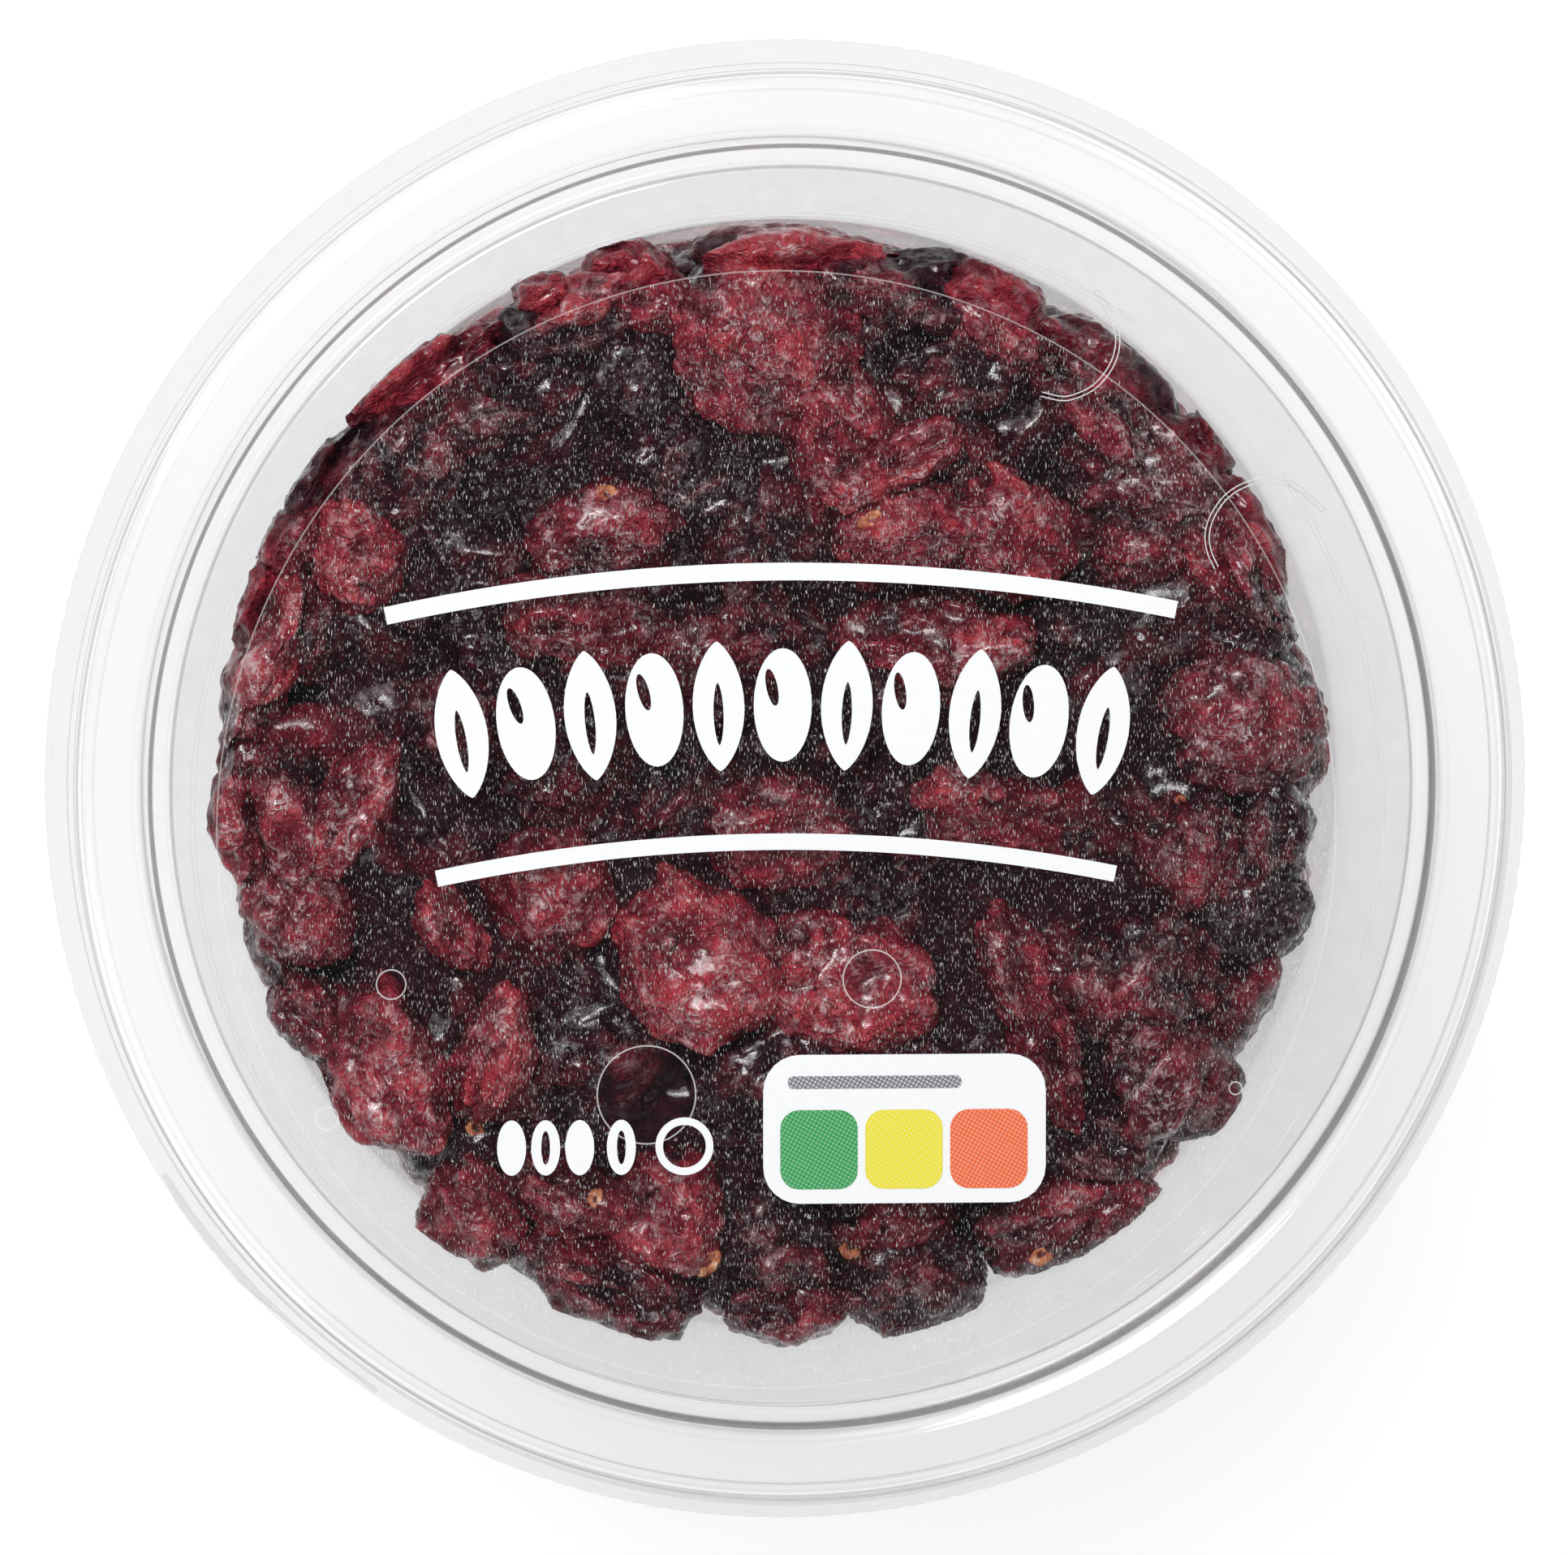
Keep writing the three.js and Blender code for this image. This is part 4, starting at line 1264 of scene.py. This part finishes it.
def lay_spread(masters, looks, count, reach, turn, height, tint):
    """Level berries on a golden-turn spiral. Height is the range of their middles."""
    berries = []
    for i in range(count):
        r = reach * math.sqrt((i + 0.5) / count)
        angle = i * GOLDEN_TURN + turn
        place = (math.cos(angle) * r, math.sin(angle) * r, looks(*height))
        length = looks(*BERRY_SIZE)
        size = (length, length * looks(*BERRY_WIDTH_SHARE), TOP_THICK)
        master = masters[i % len(masters)]
        berries.append(lay_berry(master, size, looks(0, math.pi), place, looks(*tint)))
    return berries


def lay_backing(masters, looks):
    """Berries behind the wall layer, which show only through its gaps."""
    berries = []
    low = HEAP_FLOOR_Z + BACKING_Z_MARGIN
    high = HEAP_TOP_Z - BACKING_Z_MARGIN
    for i in range(BACKING_COUNT):
        z = low + (high - low) * (i + 0.5) / BACKING_COUNT
        angle = i * GOLDEN_TURN + BACKING_TURN
        r = heap_radius(z, angle) - looks(*BACKING_INSET)
        outward = (math.cos(angle), math.sin(angle), 0)
        length = looks(*BERRY_SIZE)
        size = (length, length * looks(*BERRY_WIDTH_SHARE), SIDE_THICK)
        place = (outward[0] * r, outward[1] * r, z)
        master = masters[i % len(masters)]
        berries.append(lay_berry(master, size, looks(0, math.pi), place, looks(*BACKING_TINT), outward))
    return berries


def heap_volume():
    """Helper of the space inside the tub that the berries fill."""
    low = HEAP_FLOOR_Z - 0.2
    high = HEAP_TOP_Z + 0.15
    outline = [Vector(p) for p in (
        (0, low), (wall_radius(0) - WALL_GAP, low), (wall_radius(0) - CLEARANCE, low + 3),
        (wall_radius(BODY_TOP[1]) - CLEARANCE, BODY_TOP[1]),
        (TOP_REACH, SHOULDER[1]), (TOP_REACH, high), (0, high))]
    volume = turned("heap_volume", outline, 96)
    pick_vertices(volume, lambda place: place.z > SHOULDER[1] - 0.1)
    bpy.ops.transform.translate(value=[-v * MM for v in spot(SLACK_SIDE_TURN, TOP_SHIFT)])
    bpy.ops.object.mode_set(mode="OBJECT")
    return volume


def settle(name, berries, volume, roughen, keep=1.0):
    """Joins berries, makes each one's shape its own, and presses them against wall, base and panel."""
    select_only(*berries)
    bpy.ops.object.join()
    heap = finish_piece(name)
    if keep < 1:
        thin = heap.modifiers.new("thin", "DECIMATE")
        thin.ratio = keep
    displace(heap, roughen["lumps"], 1.7 * MM)
    displace(heap, roughen["wrinkles"], 0.38 * MM, 0.3)
    press = heap.modifiers.new("press", "SHRINKWRAP")
    press.target = volume
    press.wrap_method = "NEAREST_SURFACEPOINT"
    press.wrap_mode = "INSIDE"
    press.offset = CLEARANCE * MM
    displace(heap, roughen["creases"], 0.2 * MM, 0.6)
    apply_modifiers(heap)
    mark_ridges(heap)
    mark_inset(heap)
    select_only(heap)
    bpy.ops.object.shade_smooth()
    return heap


def mark_ridges(heap):
    """Writes how far each point stands out of its softened surface, from 0 in a crease to 1 on a ridge."""
    places = vertex_array(heap)
    soft = heap.copy()
    soft.data = heap.data.copy()
    bpy.context.scene.collection.objects.link(soft)
    smooth = soft.modifiers.new("soften", "SMOOTH")
    smooth.factor = 0.8
    smooth.iterations = 8
    apply_modifiers(soft)
    normals = np.zeros(places.size)
    soft.data.vertices.foreach_get("normal", normals)
    proud = ((places - vertex_array(soft)) * normals.reshape(-1, 3)).sum(1) / MM
    bpy.data.objects.remove(soft)
    ridge = np.clip(0.5 + proud / 0.5, 0, 1)
    # Read by the skin for its painted crease shade
    heap.data.attributes.new("ridge", "FLOAT", "POINT").data.foreach_set("value", ridge.astype(np.float32))


def mark_inset(heap):
    """Writes how deep each point lies below the panel, or behind the wall, in mm."""
    places = vertex_array(heap) / MM
    heights, radii = zip(*((z, r - TUB_WALL / 2) for r, z in (BODY_FOOT, BODY_TOP, SHOULDER)))
    behind = np.interp(places[:, 2], heights, radii) - np.hypot(places[:, 0], places[:, 1])
    inset = np.clip(np.minimum(HEAP_TOP_Z - places[:, 2], behind), 0, None)
    # Read by the skin for its painted shade deep down, and for where it is pressed to the plastic
    heap.data.attributes.new("inset", "FLOAT", "POINT").data.foreach_set("value", inset.astype(np.float32))


def make_core(volume, roughen):
    """Dark middle of the heap, a near-black lump that stands in for the shade deep among the berries."""
    outline = fillet([(0, HEAP_FLOOR_Z + 2), (CORE_R[0], HEAP_FLOOR_Z + 2),
                      (CORE_R[1], CORE_TOP_Z - 1), (0, CORE_TOP_Z)], 3, 4)
    start = [outline[0]]
    for end in outline[1:]:
        steps = max(1, round((end - start[-1]).length / 1.6))
        origin = start[-1].copy()
        start += [origin.lerp(end, (i + 1) / steps) for i in range(steps)]
    core = turned("heap_core", start, 160)
    displace(core, roughen["lumps"], 3.0 * MM, 0.6)
    displace(core, roughen["wrinkles"], 1.2 * MM, 0.5)
    apply_modifiers(core)
    bpy.ops.object.shade_smooth()
    return core


# Stem scars: x, y, radius, stretch and turn in degrees
SCAR_SHARE = 0.82
STEM_SCARS = (
    (-24.9, -27.5, 0.9, 1.0, 0),
    (5.0, -37.3, 1.15, 1.0, 0),
    (20.1, -37.9, 0.95, 1.25, 20),
    (-6.4, -38.2, 1.0, 1.5, 60),
    (-15.5, -32.8, 0.7, 1.5, 70),
    (-14.5, 23.1, 0.95, 1.2, -10),
    (6.4, 21.0, 0.8, 1.7, 30),
    (31.2, -1.6, 0.55, 1.1, 0),
)


def make_stem_scars(heap_pieces):
    """Small puckered rings, seated on the berries below them."""
    scars = []
    trees = [BVHTree.FromObject(piece, bpy.context.evaluated_depsgraph_get()) for piece in heap_pieces]
    profile = [Vector(p) for p in (
        (0, -0.05), (0.25, -0.1), (0.45, 0.14), (0.7, 0.22), (0.95, 0.08), (1.1, -0.35), (0, -0.6))]
    for i, (x, y, r, stretch, turn) in enumerate(STEM_SCARS):
        hits = [tree.ray_cast(Vector((x, y, 90)) * MM, Vector((0, 0, -1))) for tree in trees]
        found = [hit for hit in hits if hit[0] is not None]
        if not found:
            continue
        place, normal, _, _ = max(found, key=lambda hit: hit[0].z)
        scar = turned(f"scar_{i + 1}", fillet(profile, 0.12, 2), 28)
        pucker = cloud_texture(f"pucker_{i + 1}", 0.45 * MM, False, 1)
        displace(scar, pucker, 0.5 * MM)
        apply_modifiers(scar)
        lean = Vector((0, 0, 1)).rotation_difference(normal.lerp(Vector((0, 0, 1)), 0.5))
        shape = Matrix.Rotation(math.radians(turn), 4, "Z") @ Matrix.Diagonal((r * stretch, r, r, 1))
        shape = shape @ Matrix.Scale(SCAR_SHARE, 4)
        scar.data.transform(Matrix.Translation(place) @ lean.to_matrix().to_4x4() @ shape)
        scars.append(scar)
    select_only(*scars)
    bpy.ops.object.join()
    return finish_piece("stem_scars", 60)


def make_heap(materials):
    places = Draw(SEED)
    looks = Draw(SEED + 6)
    volume = heap_volume()
    roughen = {
        "lumps": cloud_texture("heap_lumps", 5.0 * MM, False),
        "wrinkles": cloud_texture("heap_wrinkles", 2.2 * MM, True, 0),
        "creases": cloud_texture("heap_creases", 0.8 * MM, True, 0),
    }
    masters = {name: make_master(name, i + 1, **form) for i, (name, form) in enumerate(MASTERS.items())}
    plain = {name: make_master(f"{name}_plain", i + 11, **form, sides=BACKING_SIDES)
             for i, (name, form) in enumerate(MASTERS.items())}
    kinds = lay_top_layer(masters, places, looks)
    wall = lay_wall_layer(masters, places, looks)
    half = len(wall) // 2
    shown = [settle(f"cranberries_{kind}", berries, volume, roughen) for kind, berries in kinds.items()]
    shown.append(settle("cranberries_wall_low", wall[:half], volume, roughen, SIDE_KEEP))
    shown.append(settle("cranberries_wall_high", wall[half:], volume, roughen, SIDE_KEEP))
    backs = list(plain.values())
    middle = HEAP_TOP_Z - TOP_THICK * TOP_REST_SHARE
    under = lay_spread(backs, looks, UNDER_COUNT, wall_radius(BODY_TOP[1]) - SPIRAL_INSET, UNDER_TURN,
                       (middle - UNDER_SINK[1], middle - UNDER_SINK[0]), FILL_TINT)
    shown.append(settle("cranberries_under", under, volume, roughen))
    resting = HEAP_FLOOR_Z + FLOOR_BERRY_LIFT
    floor = lay_spread(backs, looks, FLOOR_COUNT, wall_radius(0) - SPIRAL_INSET, 0.0, (resting, resting), SIDE_TINT)
    shown.append(settle("cranberries_deep", floor + lay_backing(backs, looks), volume, roughen))
    for heap in shown:
        dress(heap, materials["skin"], "dried_cranberry", "cranberries")
    dress(make_core(volume, roughen), materials["shadow"], "dried_cranberry", "cranberries")
    dress(make_stem_scars(shown), materials["scar"], "dried_cranberry", "cranberries")
    for helper in (volume, *masters.values(), *plain.values()):
        bpy.data.objects.remove(helper)


# Studio

def make_floor(material):
    start_fresh()
    bpy.ops.mesh.primitive_plane_add(size=4.0, location=(0, 0, -0.1 * MM), enter_editmode=True)
    bpy.ops.mesh.subdivide(number_cuts=3)
    floor = finish_piece("table")
    floor.data.materials.append(material)


def make_world():
    """Soft dome: dim overhead, so that the panel mirrors little, and bright towards the horizon."""
    world = bpy.data.worlds.new("studio")
    bpy.context.scene.world = world
    world.use_nodes = True
    tree = world.node_tree
    sky = tree.nodes.new("ShaderNodeTexCoord").outputs["Generated"]
    height = add_node(tree, "ShaderNodeSeparateXYZ", {"Vector": sky}).outputs["Z"]
    shade = ramp(tree, height, ((0.0, 1.0), (0.12, 0.85), (0.3, 0.35), (0.55, 0.12), (0.85, 0.04)))
    tree.links.new(shade, tree.nodes["Background"].inputs["Color"])
    tree.nodes["Background"].inputs["Strength"].default_value = 1.0


# Softboxes: turn in degrees, height angle in degrees, size and power in watts
SOFTBOXES = (
    (125, 50, 560, 2.9),
    (118, 66, 230, 3.0),
    (35, 44, 400, 1.0),
    (215, 44, 400, 0.9),
    (305, 42, 400, 0.8),
)
SOFTBOX_DISTANCE = 800.0


def make_lights():
    aim = Vector(CAMERA_AIM)
    for i, (turn, rise, size, power) in enumerate(SOFTBOXES):
        x, y, _ = spot(turn, SOFTBOX_DISTANCE * math.cos(math.radians(rise)))
        place = Vector((x, y, SOFTBOX_DISTANCE * math.sin(math.radians(rise)))) + aim
        light = bpy.data.lights.new(f"softbox_{i + 1}", "AREA")
        light.size = size * MM
        light.energy = power
        lamp = bpy.data.objects.new(light.name, light)
        lamp.location = place * MM
        lamp.rotation_euler = (place - aim).to_track_quat("Z", "Y").to_euler()
        bpy.context.scene.collection.objects.link(lamp)


def make_camera():
    lean_x, lean_y = CAMERA_LEAN
    back = Vector((math.sin(CAMERA_TILT) * lean_x, math.sin(CAMERA_TILT) * lean_y, math.cos(CAMERA_TILT))).normalized()
    right = Vector((0, 1, 0)).cross(back).normalized()
    up = back.cross(right)
    camera = bpy.data.objects.new("camera", bpy.data.cameras.new("camera"))
    bpy.context.scene.collection.objects.link(camera)
    turn = Matrix((right, up, back)).transposed().to_4x4()
    camera.matrix_world = Matrix.Translation((Vector(CAMERA_AIM) + back * CAMERA_DISTANCE) * MM) @ turn
    camera.data.sensor_fit = "HORIZONTAL"
    camera.data.sensor_width = SENSOR_WIDTH
    camera.data.lens = SENSOR_WIDTH * CAMERA_DISTANCE / VIEW_WIDTH
    camera.data.clip_start = 0.01
    bpy.context.scene.camera = camera


def main():
    mottle = skin_mottle_group()
    scuff = plastic_scuff_group()
    grain = print_grain_group()
    dots = halftone_group()
    inks = {"white": printed("print_white", (0.87, 0.885, 0.9), grain),
            "grey": printed("print_grey", (0.16, 0.16, 0.18), grain, dots, (0.5, 0.5, 0.52))}
    for name, colour in TILE_COLOURS.items():
        pale = [0.75 * part + 0.2 for part in colour]
        inks[name] = printed(f"print_{name}", colour, grain, dots, pale)
    berries = {"skin": cranberry_skin(mottle), "shadow": heap_shadow(mottle), "scar": stem_scar(mottle)}

    make_camera()
    make_lights()
    make_world()
    make_floor(floor_material(grain))
    # The second colour of each plastic is the painted shade that it takes edge on
    tub_plastic = clear_plastic("clear_tub_plastic", scuff, 1.0, (0.988, 0.99, 0.992), (0.95, 0.955, 0.96))
    lid_plastic = clear_plastic(
        "clear_lid_plastic", scuff, 0.6, (0.985, 0.987, 0.99), (0.55, 0.58, 0.6), lid_painted_shade_group())
    dress(make_tub(), tub_plastic, "clear_tub", "tub")
    dress(make_lid(), lid_plastic, "clear_lid", "lid")
    dress(make_thumb_tab(), lid_plastic, "clear_lid")
    dress(make_score_line(), score_highlight(grain), "clear_lid")
    dress(make_label(), label_film(film_speck_group()), "label_film", "label")
    make_print(inks)
    make_heap(berries)

    cycles = bpy.context.scene.cycles
    cycles.max_bounces = 6
    cycles.diffuse_bounces = 1
    cycles.glossy_bounces = 2
    cycles.transmission_bounces = 6
    cycles.transparent_max_bounces = 16
    cycles.caustics_reflective = False
    cycles.caustics_refractive = False
    bpy.context.scene.view_settings.view_transform = "Standard"
    bpy.context.scene.view_settings.look = "None"


main()
